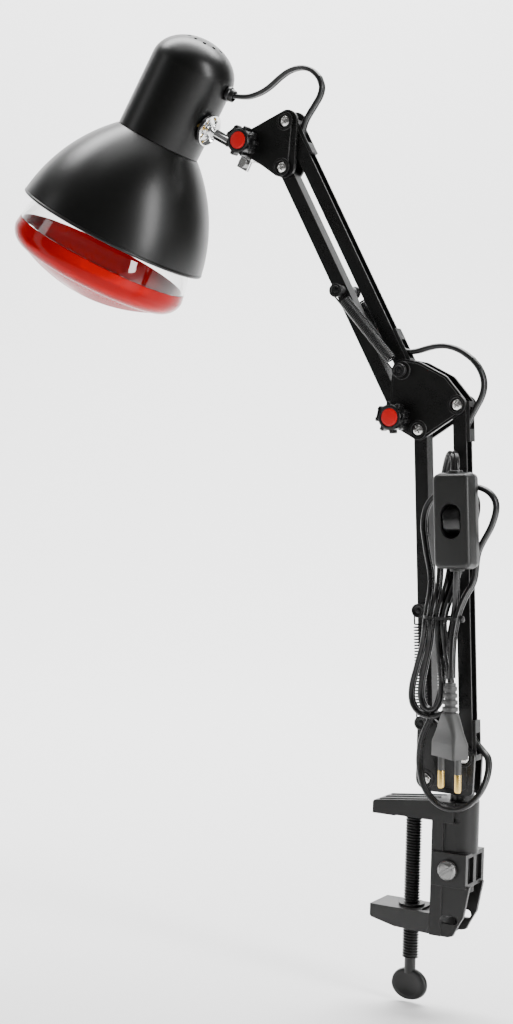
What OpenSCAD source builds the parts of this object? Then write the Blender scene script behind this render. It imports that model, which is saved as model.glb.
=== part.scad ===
// Infrared heat therapy lamp on a spring balanced arm, with a table clamp.
// Millimetres, +Z up. The arm lies in the XZ plane and the lamp head points towards -X.
// The origin is the middle of the upper jaw's flat underside, which rests on the table top.

/* [Clamp] */
// Distance from the middle of the contact face to the inner face of the spine
spine_x = 30; // [26:1:36]
// Length of the jaw in front of the spine
jaw_len = 40; // [36:1:48]
// Width of both jaws
jaw_w = 24; // [20:1:28]
// Thickness of the jaws at the tip
jaw_tip_t = 8.2; // [6:0.2:10]
// Thickness of the jaws at the spine
jaw_root_t = 12.5; // [11:0.5:15]
// Opening between the jaws as shown
jaw_gap = 56; // [40:1:60]
// Thickness of the spine plate
spine_t = 7.5; // [6:0.5:9]
// Length of the spine below the table top
spine_drop = 69; // [66:1:76]
// Width of the guide groove in the spine
groove_w = 6; // [4:0.5:8]
// Depth of the guide groove in the spine
groove_d = 3; // [2:0.25:4]
// Diameter of the clamp screw over its thread
screw_d = 10; // [8:0.5:12]
// Distance of the clamp screw from the spine
screw_from_spine = 17.5; // [14:0.5:22]
// Depth of the seat that holds the top of the clamp screw
screw_seat = 5; // [3:0.5:7]
// Length of the threaded part below the upper jaw
screw_len = 89; // [84:1:100]
// Diameter of the plain neck above the thumb paddle
screw_neck_d = 7; // [5:0.5:8]
// Length of the plain neck
screw_neck_len = 6; // [4:0.5:9]
// Width of the thumb paddle
paddle_w = 24; // [18:1:30]
// Height of the thumb paddle
paddle_h = 20; // [16:1:26]
// Thickness of the thumb paddle
paddle_t = 5; // [4:0.5:7]

/* [Swivel] */
// Diameter of the socket column
column_d = 21; // [18:0.5:24]
// Distance from the spine's inner face to the swivel axis
swivel_from_spine = 14; // [12:0.5:16]
// Diameter of the swivel pin
pin_d = 9; // [7:0.5:11]
// Depth of the swivel pin in the column
pin_depth = 45; // [36:1:48]
// Diameter of the collar under the base bracket
collar_d = 14.5; // [12:0.5:18]
// Height of that collar
collar_h = 4; // [3:0.5:6]
// Width across the locking block, in depth
block_w = 27; // [25:0.5:32]
// Height of the locking block
block_h = 20.5; // [16:0.5:24]
// Top of the locking block, below the table top
block_top = 17.5; // [14:0.5:22]
// Diameter of the locking screw's head
lock_head_d = 12; // [9:0.5:14]
// Diameter of the locking screw's shank
lock_d = 5; // [4:0.5:6]

/* [Arms] */
// Outside width of the square arm tubes and channels
tube_w = 8.5; // [7:0.25:10]
// Wall of the tubes and channels
tube_wall = 1; // [0.8:0.1:1.4]
// Pivot to pivot length of the lower arm
lower_len = 210.5; // [180:0.5:240]
// Forward lean of the lower arm from upright
lower_lean = 3.1; // [0:0.1:10]
// Pivot to pivot length of the upper arm
upper_len = 176.7; // [150:0.1:200]
// Forward lean of the upper arm from upright
upper_lean = 29.1; // [24:0.1:34]
// Distance between the two pivots at each end of the lower arm
lower_link = 29.4; // [27:0.1:33]
// Distance between the two pivots at each end of the upper arm
upper_link = 28.5; // [27:0.1:32]
// Diameter of the pivot bolts
bolt_d = 4; // [3:0.25:5]
// Diameter of the pivot bolt heads
head_d = 7.4; // [6:0.2:8]
// Height of the pivot bolt heads
head_h = 1.8; // [1.2:0.1:2.4]
// Thickness of the bracket plates
plate_t = 2; // [1.5:0.1:2.5]
// Height of the raised field on the bracket plates
pad_t = 0.7; // [0.4:0.1:1.2]
// Height of the ring boss round each pivot bolt
ring_h = 1.1; // [0.6:0.1:1.6]
// Height of the lower front pivot above the table top
base_pivot_z = 24; // [22:0.5:30]
// Distance of the lower front pivot from the swivel axis
base_pivot_back = 21.5; // [19:0.5:24]

/* [Springs] */
// Outside diameter of the balance springs
spring_d = 7.6; // [6:0.2:8.4]
// Wire diameter of the balance springs
wire_d = 1.1; // [0.8:0.1:1.3]
// Number of curls in each balance spring
spring_curls = 18; // [10:1:22]
// Diameter of the spring anchors
spool_d = 8.4; // [7:0.2:10]
// Diameter of the groove in the spring anchors
spool_groove_d = 5.6; // [4.6:0.2:6.4]
// Distance of the spring line from the middle of the arm
spring_y = 10.9; // [10.5:0.1:12]
// Distance of the lower spring's bolt from the lower front pivot
lower_bolt_at = 102; // [90:1:115]
// Distance of the upper spring's bolt from the upper front pivot
upper_bolt_at = 88; // [76:1:98]

/* [Knobs] */
// Diameter of the knob body
knob_d = 16; // [14:0.5:18]
// Diameter over the knob's grip lugs
knob_lug_d = 19.6; // [18:0.2:22]
// Number of grip lugs
knob_lugs = 8; // [6:1:10]
// Height of the knobs
knob_h = 13; // [11:0.5:16]
// Diameter of the red caps
cap_d = 11; // [9:0.5:12]
// Thickness of the red caps
cap_t = 2; // [1.5:0.25:3]

/* [Head] */
// Diameter of the head's rod
rod_d = 7; // [6:0.25:8]
// Distance of the rod's axis below the knob's bolt
rod_below = 6; // [5.9:0.1:7]
// Length of the rod from the rosette to the knob's bolt
rod_len = 38; // [34:0.1:46]
// Dip of the rod towards the arm
rod_dip = 27.5; // [20:0.5:35]
// Turn of the head about the rod
head_turn = 4; // [-15:1:15]
// Diameter of the rosette
rosette_d = 21; // [18:0.5:24]
// Height of the rosette
rosette_h = 4; // [3:0.5:6]
// Diameter of the neck
neck_d = 56.8; // [54:0.2:62]
// Distance from the rod's axis up to the start of the neck's dome
neck_up = 28.1; // [26:0.1:34]
// Height of the neck's dome
dome_h = 21.6; // [15:0.1:24]
// Distance from the rod's axis down to the seam between neck and shade
seam_at = 22.2; // [20:0.1:26]
// Thickness of the neck and shade sheet
sheet_t = 1; // [0.8:0.1:1.4]
// Diameter of the shade at its mouth
mouth_d = 128.4; // [126:0.2:136]
// Distance from the rod's axis to the shade's mouth
mouth_at = 88; // [84:0.5:96]
// Bulge of the shade's side
shade_bulge = 6.2; // [4:0.1:8]
// Diameter of the vent holes
vent_d = 2.6; // [2:0.2:4]
// Number of vent holes
vents = 12; // [8:1:16]
// Largest diameter of the bulb
bulb_d = 121.6; // [118:0.2:124]
// Distance from the rod's axis to the bulb's widest place
bulb_wide_at = 110.5; // [106:0.5:114]
// Distance from the bulb's widest place to its tip
bulb_tip_drop = 23.5; // [20:0.5:28]
// Distance from the bulb's widest place back to the edge of the red glass
red_back = 6; // [4:0.5:8]
// Thickness of the bulb's glass
glass_t = 1.5; // [1.2:0.1:2]

/* [Cord] */
// Width of the flat cord
cord_w = 5.4; // [5:0.1:5.6]
// Thickness of the flat cord
cord_t = 3.2; // [3:0.1:3.4]

/* [Hidden] */
$fn = 64;
fit = 0.05;
gap = 0.3;
// Long enough for a cut to pass right through any piece
far = 100;

// ---- places worked out from the sizes above ----
swivel_x = spine_x + swivel_from_spine;
screw_x = spine_x - screw_from_spine;
jaw_tip_x = spine_x - jaw_len;
pad_x1 = screw_x - screw_d / 2 - 2.5;
block_x1 = swivel_x + 9.5;
collar_z1 = jaw_root_t + collar_h;
web_t = 2.2;

function lean(p, length, angle) = p + length * [-sin(angle), cos(angle)];
base_front = [swivel_x - base_pivot_back, base_pivot_z];
lower_step = lower_link * [cos(31.8), sin(31.8)];
upper_step = upper_link * [sin(3), cos(3)];
base_rear = base_front + lower_step;
elbow_front = lean(base_front, lower_len, lower_lean);
elbow_rear = elbow_front + lower_step;
upper_front = elbow_front + [-13.3, 7.1];
upper_rear = upper_front + upper_step;
head_front = lean(upper_front, upper_len, upper_lean);
head_rear = head_front + upper_step;
knob_at = head_front + [-24.9, 16.4];
lower_bolt = lean(base_front, lower_bolt_at, lower_lean);
upper_bolt = lean(upper_front, upper_bolt_at, upper_lean);
base_anchor = base_front + [-1.6, 34.3];

arm_y = tube_w / 2;
plate_y0 = arm_y + gap + 0.05;
plate_y1 = plate_y0 + plate_t;
pad_y = plate_y1 + pad_t;
ring_y = pad_y + ring_h;
bolt_hole = bolt_d + 2 * fit;
spool_y1 = spring_y + 2.3;

rod_dir = [cos(rod_dip), -sin(rod_dip)];
rod_up = [sin(rod_dip), cos(rod_dip)];
rod_foot = knob_at - rod_below * rod_up;
rosette_at = rod_foot - rod_len * rod_dir;

// ---- shared helpers ----
// Something drawn in the XZ plane and given depth from y0 to y1
module plate(y0, y1) translate([0, y1, 0]) rotate([90, 0, 0]) linear_extrude(y1 - y0) children();
// A round bar along Y at the XZ point p
module bar_y(p, y0, y1, d) translate([p[0], y0, p[1]]) rotate([-90, 0, 0]) cylinder(h = y1 - y0, d = d);
module mirror_y() {
    children();
    mirror([0, 1, 0]) children();
}
// The outline round circles given as [centre, radius], in order, all corners turning one way
function side_points(a, b, side) =
    let (d = b[0] - a[0], n = norm(d), u = d / n, v = [-u[1], u[0]], c = (a[1] - b[1]) / n)
    let (m = c * u + side * sqrt(1 - c * c) * v)
    [a[0] + a[1] * m, b[0] + b[1] * m];
module blob(spots) {
    for (s = spots) translate(s[0]) circle(r = s[1]);
    for (i = [0:len(spots) - 1]) {
        a = spots[i];
        b = spots[(i + 1) % len(spots)];
        p = side_points(a, b, 1);
        q = side_points(a, b, -1);
        polygon([p[0], p[1], q[1], q[0]]);
    }
    if (len(spots) > 2) polygon([for (s = spots) s[0]]);
}
// Places children with their X along the arm from XZ point p, leaning forward by angle
module along_arm(p, angle) translate([p[0], 0, p[1]]) rotate([0, -90 - angle, 0]) children();

// ---- clamp ----
module clamp_body() color("#1d1d1c") difference() {
    union() {
        // upper jaw with its ribbed, sloping top
        plate(-jaw_w / 2, jaw_w / 2) polygon([[jaw_tip_x, 0], [swivel_x, 0], [swivel_x, jaw_root_t],
            [spine_x, jaw_root_t], [jaw_tip_x + 1.2, jaw_tip_t], [jaw_tip_x, jaw_tip_t - 1.2]]);
        for (y = [-8, 0, 8]) plate(y - 0.7, y + 0.7) polygon([
            [jaw_tip_x + 3, jaw_tip_t - 1], [spine_x, jaw_root_t - 1],
            [spine_x, jaw_root_t + 0.5], [jaw_tip_x + 3, jaw_tip_t + 0.8]]);
        // spine
        translate([spine_x, -jaw_w / 2, -spine_drop]) cube([spine_t, jaw_w, spine_drop + jaw_root_t]);
        // socket column
        translate([swivel_x, 0, -block_top - 1]) cylinder(h = block_top + 1 + jaw_root_t, d = column_d);
        translate([spine_x + 1, -column_d / 2, -block_top - 1])
            cube([swivel_from_spine - 1, column_d, block_top + 1 + jaw_root_t]);
        // locking block
        translate([spine_x + 1.2, -block_w / 2, -block_top - block_h])
            cube([block_x1 - spine_x - 1.2, block_w, block_h]);
        // core round the blind end of the pin bore
        translate([swivel_x, 0, -block_top - block_h - 4]) cylinder(h = block_h, d = pin_d + 8);
        // tapering side webs of the lower spine
        for (s = [-1, 1]) plate(s * 10 - 1.25, s * 10 + 1.25) polygon([[spine_x + 2, -block_top - block_h + 1],
            [block_x1 + 1.6, -block_top - block_h + 1], [block_x1 - 2, -56], [block_x1 - 6, -63],
            [spine_x + 15, -spine_drop + 1], [spine_x + 12, -spine_drop], [spine_x + 2, -spine_drop]]);
        translate([spine_x + spine_t - 1, -9, -spine_drop]) cube([4, 18, 4]);
    }
    // swivel pin bore
    translate([swivel_x, 0, jaw_root_t - pin_depth - 0.6]) cylinder(h = pin_depth + 2, d = pin_d + 2 * fit);
    // seat for the top of the clamp screw
    translate([screw_x, 0, -1]) cylinder(h = screw_seat + 1.2, d = screw_d + 2 * fit);
    // guide groove for the lower jaw
    translate([spine_x - 1, -groove_w / 2, -spine_drop - 1]) cube([groove_d + 1, groove_w, spine_drop - 1]);
    // undercut line below the column's cap, front and rear
    for (s = [-1, 1]) translate([swivel_x - 9, s * (column_d / 2) - 0.6, 0.5]) cube([17, 1.2, 2.6]);
    // open pockets in the block's right face
    for (s = [-1, 1]) translate([block_x1 - 2.6, s * 6 - 4, -block_top - block_h + 2.4])
        cube([3, 8, block_h - 4.8]);
    // slot through the lower webs
    plate(-15, 15) blob([[[spine_x + 9.5, -58.5], 2.6], [[block_x1 - 8, -58.5], 2.6]]);
    // threaded hole for the locking screw
    bar_y([swivel_x - 1.9, -block_top - block_h / 2], -block_w / 2 - 1, 0, lock_d + 2 * fit);
    // the underside is relieved behind the pad that rests on the table
    translate([pad_x1, -jaw_w, -1]) cube([spine_x - pad_x1, 2 * jaw_w, 1.5]);
}
module lower_jaw() color("#1a1a19") difference() {
    union() {
        plate(-jaw_w / 2, jaw_w / 2) polygon([[jaw_tip_x, -jaw_gap], [spine_x - gap, -jaw_gap],
            [spine_x - gap, -jaw_gap - jaw_root_t], [screw_x - 6, -jaw_gap - jaw_root_t + 0.8],
            [jaw_tip_x + 1, -jaw_gap - jaw_tip_t], [jaw_tip_x, -jaw_gap - jaw_tip_t + 1]]);
        // boss on the top round the screw
        translate([screw_x, 0, -jaw_gap - 1]) cylinder(h = 2.6, d = screw_d + 6);
        // tongue in the spine's groove
        translate([spine_x - gap - 1, -groove_w / 2 + gap, -jaw_gap - jaw_root_t])
            cube([groove_d + 1, groove_w - 2 * gap, jaw_root_t]);
    }
    translate([screw_x, 0, -jaw_gap - jaw_root_t - 1]) cylinder(h = jaw_root_t + 6, d = screw_d + 2 * fit);
    // relief pocket between the screw boss and the spine
    translate([screw_x + 9.5, -8, -jaw_gap - 1.6]) cube([screw_from_spine - 11, 16, 2]);
}
module clamp_screw() color("#1b1b1a") {
    translate([screw_x, 0, -screw_len]) cylinder(h = screw_len + screw_seat, d = screw_d);
    translate([screw_x, 0, -screw_len - screw_neck_len - 2]) cylinder(h = screw_neck_len + 3, d = screw_neck_d);
    translate([screw_x, 0, -screw_len - screw_neck_len - paddle_h / 2]) difference() {
        scale([paddle_w / paddle_h, 1, 1]) bar_y([0, 0], -paddle_t / 2, paddle_t / 2, paddle_h);
        for (s = [-1, 1]) translate([0, s * (paddle_t / 2 + 9.2), 0]) sphere(r = 10.4);
    }
}
module locking_screw() color("#8d8d8a") {
    c = [swivel_x - 1.9, -block_top - block_h / 2];
    difference() {
        bar_y(c, -block_w / 2 - 4.2, -block_w / 2 - 0.1, lock_head_d);
        translate([c[0], -block_w / 2 - 4.3, c[1]]) rotate([0, 35, 0]) translate([-8, -1, -1.1]) cube([16, 2.6, 2.2]);
    }
    bar_y(c, -block_w / 2 - 1, -pin_d / 2 - 0.4, lock_d);
}

// ---- base of the arm ----
module base_outline() blob([[base_anchor, 5], [base_front, 6.6], [[swivel_x + 6.3, collar_z1 + 3.2], 3], [base_rear, 6.4]]);
module base_bracket() color("#191918") difference() {
    union() {
        mirror_y() plate(plate_y0, plate_y1) base_outline();
        translate([base_front[0] - 2, -plate_y1, collar_z1 + 0.2])
            cube([swivel_x + 8 - base_front[0], 2 * plate_y1, web_t]);
        mirror_y() for (p = [base_front, base_rear]) bar_y(p, plate_y1 - 0.5, ring_y, head_d + 3.6);
        mirror_y() plate(plate_y1 - 0.4, pad_y) blob([[base_anchor, 3.6], [base_front + [1, 1], 4.2],
            [[swivel_x + 3, collar_z1 + 6], 2.5], [base_rear - [2, 1], 3.6]]);
    }
    for (p = [base_front, base_rear]) bar_y(p, -20, 20, bolt_hole);
    mirror_y() for (p = [base_front, base_rear]) bar_y(p, pad_y - 0.2, 20, head_d + 1.6);
    bar_y(base_anchor, -20, 20, bolt_hole);
    translate([swivel_x, 0, 0]) cylinder(h = 60, d = pin_d - 2 + 2 * fit);
    // space inside for the arm ends
    translate([0, -plate_y0, collar_z1 + 0.2 + web_t]) cube([far, 2 * plate_y0, far]);
}
module swivel_pin() color("#8f8f8c") {
    translate([swivel_x, 0, jaw_root_t - pin_depth]) cylinder(h = pin_depth + collar_h + 0.2, d = pin_d);
    translate([swivel_x, 0, collar_z1 - 0.5]) cylinder(h = web_t + 0.7, d = pin_d - 2);
    // riveted end on top of the web
    translate([swivel_x, 0, collar_z1 + 0.2 + web_t]) cylinder(h = 1, d = pin_d);
}
module swivel_collar() color("#202020") translate([swivel_x, 0, jaw_root_t + 0.1]) difference() {
    cylinder(h = collar_h, d = collar_d);
    translate([0, 0, -1]) cylinder(h = collar_h + 2, d = pin_d + 2 * fit);
}
// A through bolt with a domed head in front and a nut behind
module pivot_bolt(p, y) color("#c9c9c6") {
    bar_y(p, -y, y, bolt_d);
    intersection() {
        bar_y(p, -y - head_h, -y, head_d);
        translate([p[0], -y - head_h + head_d * 0.7, p[1]]) sphere(d = head_d * 1.4);
    }
    translate([p[0], y, p[1]]) rotate([-90, 0, 0]) cylinder(h = head_h, d = head_d, $fn = 6);
}
module base_bolts() for (p = [base_front, base_rear]) pivot_bolt(p, pad_y);
// Grooved anchors at both ends of a long bolt
module spool(p, y0) {
    bar_y(p, y0, spring_y - 1.2, spool_d - 1);
    bar_y(p, spring_y - 1.3, spring_y + 1.3, spool_groove_d);
    bar_y(p, spring_y + 1.2, spool_y1, spool_d);
}
module spool_pair(p, y0) color("#232322") difference() {
    union() {
        bar_y(p, -y0, y0, bolt_d);
        mirror_y() spool(p, y0 - 0.01);
    }
    mirror_y() bar_y(p, spool_y1 - 0.8, spool_y1 + 1, spool_d - 3);
}
// The lower anchors are two short studs, because the front arm passes between the plates there
module base_spools() color("#232322") mirror_y() difference() {
    union() {
        bar_y(base_anchor, plate_y0, pad_y + 0.2, bolt_d);
        spool(base_anchor, pad_y + 0.1);
    }
    bar_y(base_anchor, spool_y1 - 0.8, spool_y1 + 1, spool_d - 3);
}

// ---- arm members ----
module arm_shape(length, w, y) {
    along_arm([0, 0], 0) translate([0, -y, -w / 2]) cube([length, 2 * y, w]);
    for (z = [0, length]) translate([0, -y, z]) rotate([-90, 0, 0]) cylinder(h = 2 * y, d = w);
}
module square_tube(p, length, angle, holes) translate([p[0], 0, p[1]]) rotate([0, -angle, 0]) difference() {
    arm_shape(length, tube_w, arm_y);
    translate([-arm_y + tube_wall, -arm_y + tube_wall, -tube_w])
        cube([tube_w - 2 * tube_wall, tube_w - 2 * tube_wall, length + 2 * tube_w]);
    for (z = concat([0, length], holes)) translate([0, -10, z]) rotate([-90, 0, 0]) cylinder(h = 20, d = bolt_hole);
}
module open_channel(p, length, angle) translate([p[0], 0, p[1]]) rotate([0, -angle, 0]) difference() {
    arm_shape(length, tube_w, arm_y);
    translate([-arm_y + tube_wall, -arm_y + tube_wall, -tube_w])
        cube([tube_w, tube_w - 2 * tube_wall, length + 2 * tube_w]);
    for (z = [0, length]) translate([0, -10, z]) rotate([-90, 0, 0]) cylinder(h = 20, d = bolt_hole);
}
module lower_tube() color("#1e1e1d") square_tube(base_front, lower_len, lower_lean, [lower_bolt_at]);
module upper_tube() color("#1e1e1d") square_tube(upper_front, upper_len, upper_lean, [upper_bolt_at]);
module lower_channel() color("#1e1e1d") open_channel(base_rear, lower_len, lower_lean);
module upper_channel() color("#1e1e1d") open_channel(upper_rear, upper_len, upper_lean);
module lower_spring_bolt() spool_pair(lower_bolt, arm_y + 0.1);
module upper_spring_bolt() spool_pair(upper_bolt, arm_y + 0.1);
// A cord clip on the channel's open side, with a window that the cord leaves by.
// It starts at height `at` along the channel and its tongue is at the end named by `side`
clip_len = 24;
window_len = 13.1;
module clip(p, at, angle, side) translate([p[0], 0, p[1]]) rotate([0, -angle, 0])
    translate([0, 0, at + clip_len / 2]) scale([1, 1, side]) color("#272726") difference() {
        union() {
            translate([arm_y + 0.05, -arm_y + 0.5, -clip_len / 2]) cube([2, tube_w - 1, clip_len]);
            translate([arm_y - 1, -arm_y + tube_wall + 0.1, clip_len / 2 - 4]) cube([2, tube_w - 2 * tube_wall - 0.2, 3]);
        }
        translate([0, -cord_w / 2 - 0.15, -clip_len / 2 + 3.4]) cube([12, cord_w + 0.3, window_len]);
    }
module lower_clips() {
    clip(base_rear, -2, lower_lean, 1);
    clip(base_rear, lower_len - 22, lower_lean, -1);
}
module upper_clips() {
    clip(upper_rear, 2, upper_lean, 1);
    clip(upper_rear, upper_len - 26, upper_lean, -1);
}
module cord_run(p, length, angle) translate([p[0], 0, p[1]]) rotate([0, -angle, 0]) color("#141414")
    translate([-0.9, 0, cord_end]) scale([cord_t / cord_w, 1, 1]) cylinder(h = length - 2 * cord_end, d = cord_w);
cord_end = 26.5;
module lower_cord_run() cord_run(base_rear, lower_len, lower_lean);
module upper_cord_run() cord_run(upper_rear, upper_len, upper_lean);

// ---- elbow ----
elbow_spots = [[upper_rear, 7], [upper_front + [-0.4, 0.4], 6.6], [elbow_front, 6.2], [elbow_rear, 5.4],
    [elbow_rear + [-11.6, 12], 6], [upper_rear + [9.4, -0.8], 6.2]];
module elbow_plate() difference() {
    union() {
        plate(plate_y0, plate_y1) blob(elbow_spots);
        plate(plate_y1 - 0.4, pad_y) blob([for (s = elbow_spots) [s[0], s[1] - 1.4]]);
        for (p = [elbow_front, elbow_rear]) bar_y(p, pad_y - 0.2, ring_y, 11.6);
        bar_y(upper_rear, pad_y - 0.2, ring_y, spool_d + 2.6);
    }
    for (p = [elbow_front, elbow_rear, upper_front, upper_rear]) bar_y(p, 0, 20, bolt_hole);
    for (p = [elbow_front, elbow_rear]) bar_y(p, pad_y - 0.3, 20, head_d + 1.2);
}
module elbow_front_plate() color("#1c1c1b") mirror([0, 1, 0]) elbow_plate();
module elbow_rear_plate() color("#1c1c1b") elbow_plate();
module elbow_bolts() {
    for (p = [elbow_front, elbow_rear]) pivot_bolt(p, pad_y - 0.3);
    knob_bolt(upper_front);
}
module elbow_spools() spool_pair(upper_rear, ring_y + 0.1);

// ---- knobs ----
module knob(p, y0) {
    y1 = y0 + knob_h;
    color("#1a1a1a") mirror([0, 1, 0]) difference() {
        union() {
            bar_y(p, y0, y1 - 5, knob_d - 1);
            bar_y(p, y1 - 7, y1, knob_d);
            for (i = [0:knob_lugs - 1]) {
                a = i * 360 / knob_lugs;
                bar_y(p + (knob_lug_d / 2 - 2.2) * [cos(a), sin(a)], y1 - 7.5, y1 - 0.8, 4.4);
            }
            for (i = [0:knob_lugs - 1]) {
                a = (i + 0.5) * 360 / knob_lugs;
                bar_y(p + (knob_d / 2 - 1) * [cos(a), sin(a)], y0 + 0.6, y1 - 7, 2.4);
            }
        }
        bar_y(p, y1 - cap_t + 0.5, y1 + 1, cap_d + 2 * fit);
        bar_y(p, y0 - 1, y1 - cap_t - 1.5, bolt_d + 2 * fit);
    }
}
module knob_cap(p, y0) color("#e01b2c") mirror([0, 1, 0])
    bar_y(p, y0 + knob_h - cap_t + 0.5, y0 + knob_h + 0.5, cap_d);
module elbow_knob() knob(upper_front, pad_y + 0.1);
module elbow_knob_cap() knob_cap(upper_front, pad_y + 0.1);
module head_knob() knob(knob_at, pad_y + 0.1);
module head_knob_cap() knob_cap(knob_at, pad_y + 0.1);

// ---- head bracket ----
bracket_spots = [[knob_at, 7.5], [head_front + [1.6, 0.4], 7], [head_rear + [1, 0], 7.2]];
module bracket_plate() difference() {
    union() {
        plate(plate_y0, plate_y1) blob(bracket_spots);
        plate(plate_y1 - 0.4, pad_y) blob([[knob_at, 6.4], [head_front - [1.6, 0], 5.6], [head_rear - [1.4, 0], 6]]);
        for (p = [head_front, head_rear]) bar_y(p, pad_y - 0.2, ring_y, 11.4);
    }
    for (p = [knob_at, head_front, head_rear]) bar_y(p, 0, 20, bolt_hole);
    for (p = [head_front, head_rear]) bar_y(p, pad_y - 0.3, 20, head_d + 1.2);
}
module bracket_front_plate() color("#1c1c1b") mirror([0, 1, 0]) bracket_plate();
module bracket_rear_plate() color("#1c1c1b") bracket_plate();
// The two pivot bolts, and the bolts that the knobs turn on
module knob_bolt(p) color("#c9c9c6") {
    bar_y(p, -pad_y - knob_h + cap_t + 2, pad_y, bolt_d);
    translate([p[0], pad_y, p[1]]) rotate([-90, 0, 0]) cylinder(h = head_h + 0.6, d = head_d + 0.6, $fn = 6);
}
module bracket_bolts() {
    for (p = [head_front, head_rear]) pivot_bolt(p, pad_y - 0.3);
    knob_bolt(knob_at);
}

// ---- rod and head ----
// Places children with X along the rod, Z up from it, and the origin on the rod below the knob's bolt
module on_rod() translate([rod_foot[0], 0, rod_foot[1]]) rotate([0, rod_dip, 0]) children();
strap_y = plate_y0 - gap;
module rod_clamp() color("#d2d2d2") on_rod() difference() {
    union() {
        translate([-5.5, -strap_y, -rod_d / 2 + 0.4]) cube([11, 2 * strap_y, rod_d / 2 + rod_below + 3.4]);
        rotate([0, 90, 0]) translate([0, 0, -5.5]) cylinder(h = 11, r = strap_y);
        translate([-4, -1.6, -11]) cube([8, 3.2, 8]);
    }
    rotate([0, 90, 0]) translate([0, 0, -10]) cylinder(h = 20, d = rod_d + 2 * fit);
    translate([-10, -0.5, -12]) cube([20, 1, 12]);
    bar_y([0, rod_below], -10, 10, bolt_hole);
    bar_y([0, -7.2], -10, 10, 3 + 2 * fit);
}
module rod_clamp_bolt() color("#b9b9b6") on_rod() {
    bar_y([0, -7.2], -strap_y + 0.2, -1.65, 5.4);
    bar_y([0, -7.2], -2, 2.4, 3);
    translate([0, 1.65, -7.2]) rotate([-90, 0, 0]) cylinder(h = 2.3, d = 5.6, $fn = 6);
}
// Places children with the origin on the head's axis and Z from the dome to the mouth
module on_head() on_rod() rotate([-head_turn, 0, 0]) translate([-rod_len - neck_d / 2, 0, 0])
    rotate([180, 0, 0]) children();
rod_seat = 1.2;
module rod() color("#dcdcdc") on_rod() {
    translate([-rod_len + rod_seat, 0, 0]) rotate([0, 90, 0]) cylinder(h = rod_len - rod_seat + 9, d = rod_d);
    translate([9, 0, 0]) rotate([0, 90, 0]) cylinder(h = 1, d = rod_d - 1.4);
}
module on_rosette() on_rod() rotate([-head_turn, 0, 0]) translate([-rod_len, 0, 0]) rotate([0, 90, 0]) children();
module rosette() color("#d8d8d8") on_rosette() difference() {
    rotate_extrude() polygon([[0, -0.6], [rosette_d / 2 - 3, 0.3], [rosette_d / 2, rosette_h],
        [rosette_d / 2 - 1, rosette_h], [rosette_d / 2 - 3.6, 1.4], [rod_d / 2 + 1.2, 1.2],
        [rod_d / 2 + 1.2, rosette_h - 0.6], [0, rosette_h - 0.6]]);
    translate([0, 0, rod_seat]) cylinder(h = 10, d = rod_d + 0.02);
    // its back is hollowed to lie on the round neck
    translate([0, 0, -neck_d / 2]) rotate([0, 90, 0]) cylinder(h = far, d = neck_d + 0.04, center = true);
    for (s = [-1, 1]) translate([0, s * rosette_screw_at, 0]) {
        translate([0, 0, -2]) cylinder(h = 10, d = rosette_screw_d + 2 * fit);
        translate([0, 0, 1.5]) cylinder(h = 10, d = rosette_head_d + 2 * fit);
    }
}
rosette_screw_at = 7.4;
rosette_screw_d = 2.5;
rosette_head_d = 4.2;
module rosette_screws() color("#b8963e") on_rosette()
    for (s = [-1, 1]) translate([0, s * rosette_screw_at, 0]) {
        translate([0, 0, 1.5]) cylinder(h = 1.5, d = rosette_head_d);
        translate([0, 0, -4]) cylinder(h = 6, d = rosette_screw_d);
    }
function arc_points(a, b, rise, n) =
    let (m = (a + b) / 2, d = b - a, h = norm(d) / 2, r = (h * h + rise * rise) / (2 * rise))
    let (u = d / (2 * h), v = [u[1], -u[0]])
    let (half = asin(h / r))
    [for (i = [0:n]) let (t = -half + 2 * half * i / n) m + r * sin(t) * u + (r * cos(t) - r + rise) * v];
function dome_points(r, z0, h, n) = [for (i = [0:n]) let (t = 90 * i / n) [r * cos(t), z0 - h * sin(t)]];
module neck() color("#232322") on_head() difference() {
    rotate_extrude() polygon(concat(
        [[neck_d / 2, seam_at]], dome_points(neck_d / 2, -neck_up, dome_h, 14),
        [[0, -neck_up - dome_h + sheet_t]],
        [for (i = [13:-1:0]) dome_points(neck_d / 2 - sheet_t, -neck_up, dome_h - sheet_t, 14)[i]],
        [[neck_d / 2 - sheet_t, seam_at]]));
    for (i = [0:vents - 1]) rotate([0, 0, i * 360 / vents]) translate([13, 0, -neck_up - dome_h - 3])
        cylinder(h = 12, d = vent_d);
    // hole for the cord's grommet
    translate([0, 0, grommet_up]) rotate([0, 90, grommet_turn]) cylinder(h = far, d = grommet_d - 2);
    // holes for the rosette screws
    for (s = [-1, 1]) translate([0, s * rosette_screw_at, 0]) rotate([0, 90, 0])
        cylinder(h = far, d = rosette_screw_d + 2 * fit);
}
grommet_d = 10;
grommet_up = -26;
grommet_turn = -10;
shade_line = arc_points([neck_d / 2 + 0.4, seam_at], [mouth_d / 2, mouth_at - 1], shade_bulge, 12);
shade_inner = arc_points([neck_d / 2 + 0.4 - sheet_t, seam_at], [mouth_d / 2 - sheet_t, mouth_at - 1],
    shade_bulge, 12);
module shade() color("#232322") on_head() rotate_extrude() polygon(concat(
    [[holder_d / 2 + 0.4, seam_at + 0.1 - sheet_t], [neck_d / 2 - sheet_t - 0.2, seam_at + 0.1 - sheet_t],
        [neck_d / 2 - sheet_t - 0.2, seam_at + 0.1]],
    shade_flip(shade_line), [for (i = [12:-1:1]) shade_flip(shade_inner)[i]],
    [[neck_d / 2 - sheet_t - 1, seam_at + 0.1 + sheet_t], [holder_d / 2 + 0.4, seam_at + 0.1 + sheet_t]]));
function shade_flip(line) = [for (p = line) [p[0], p[1] + 0.15]];
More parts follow.
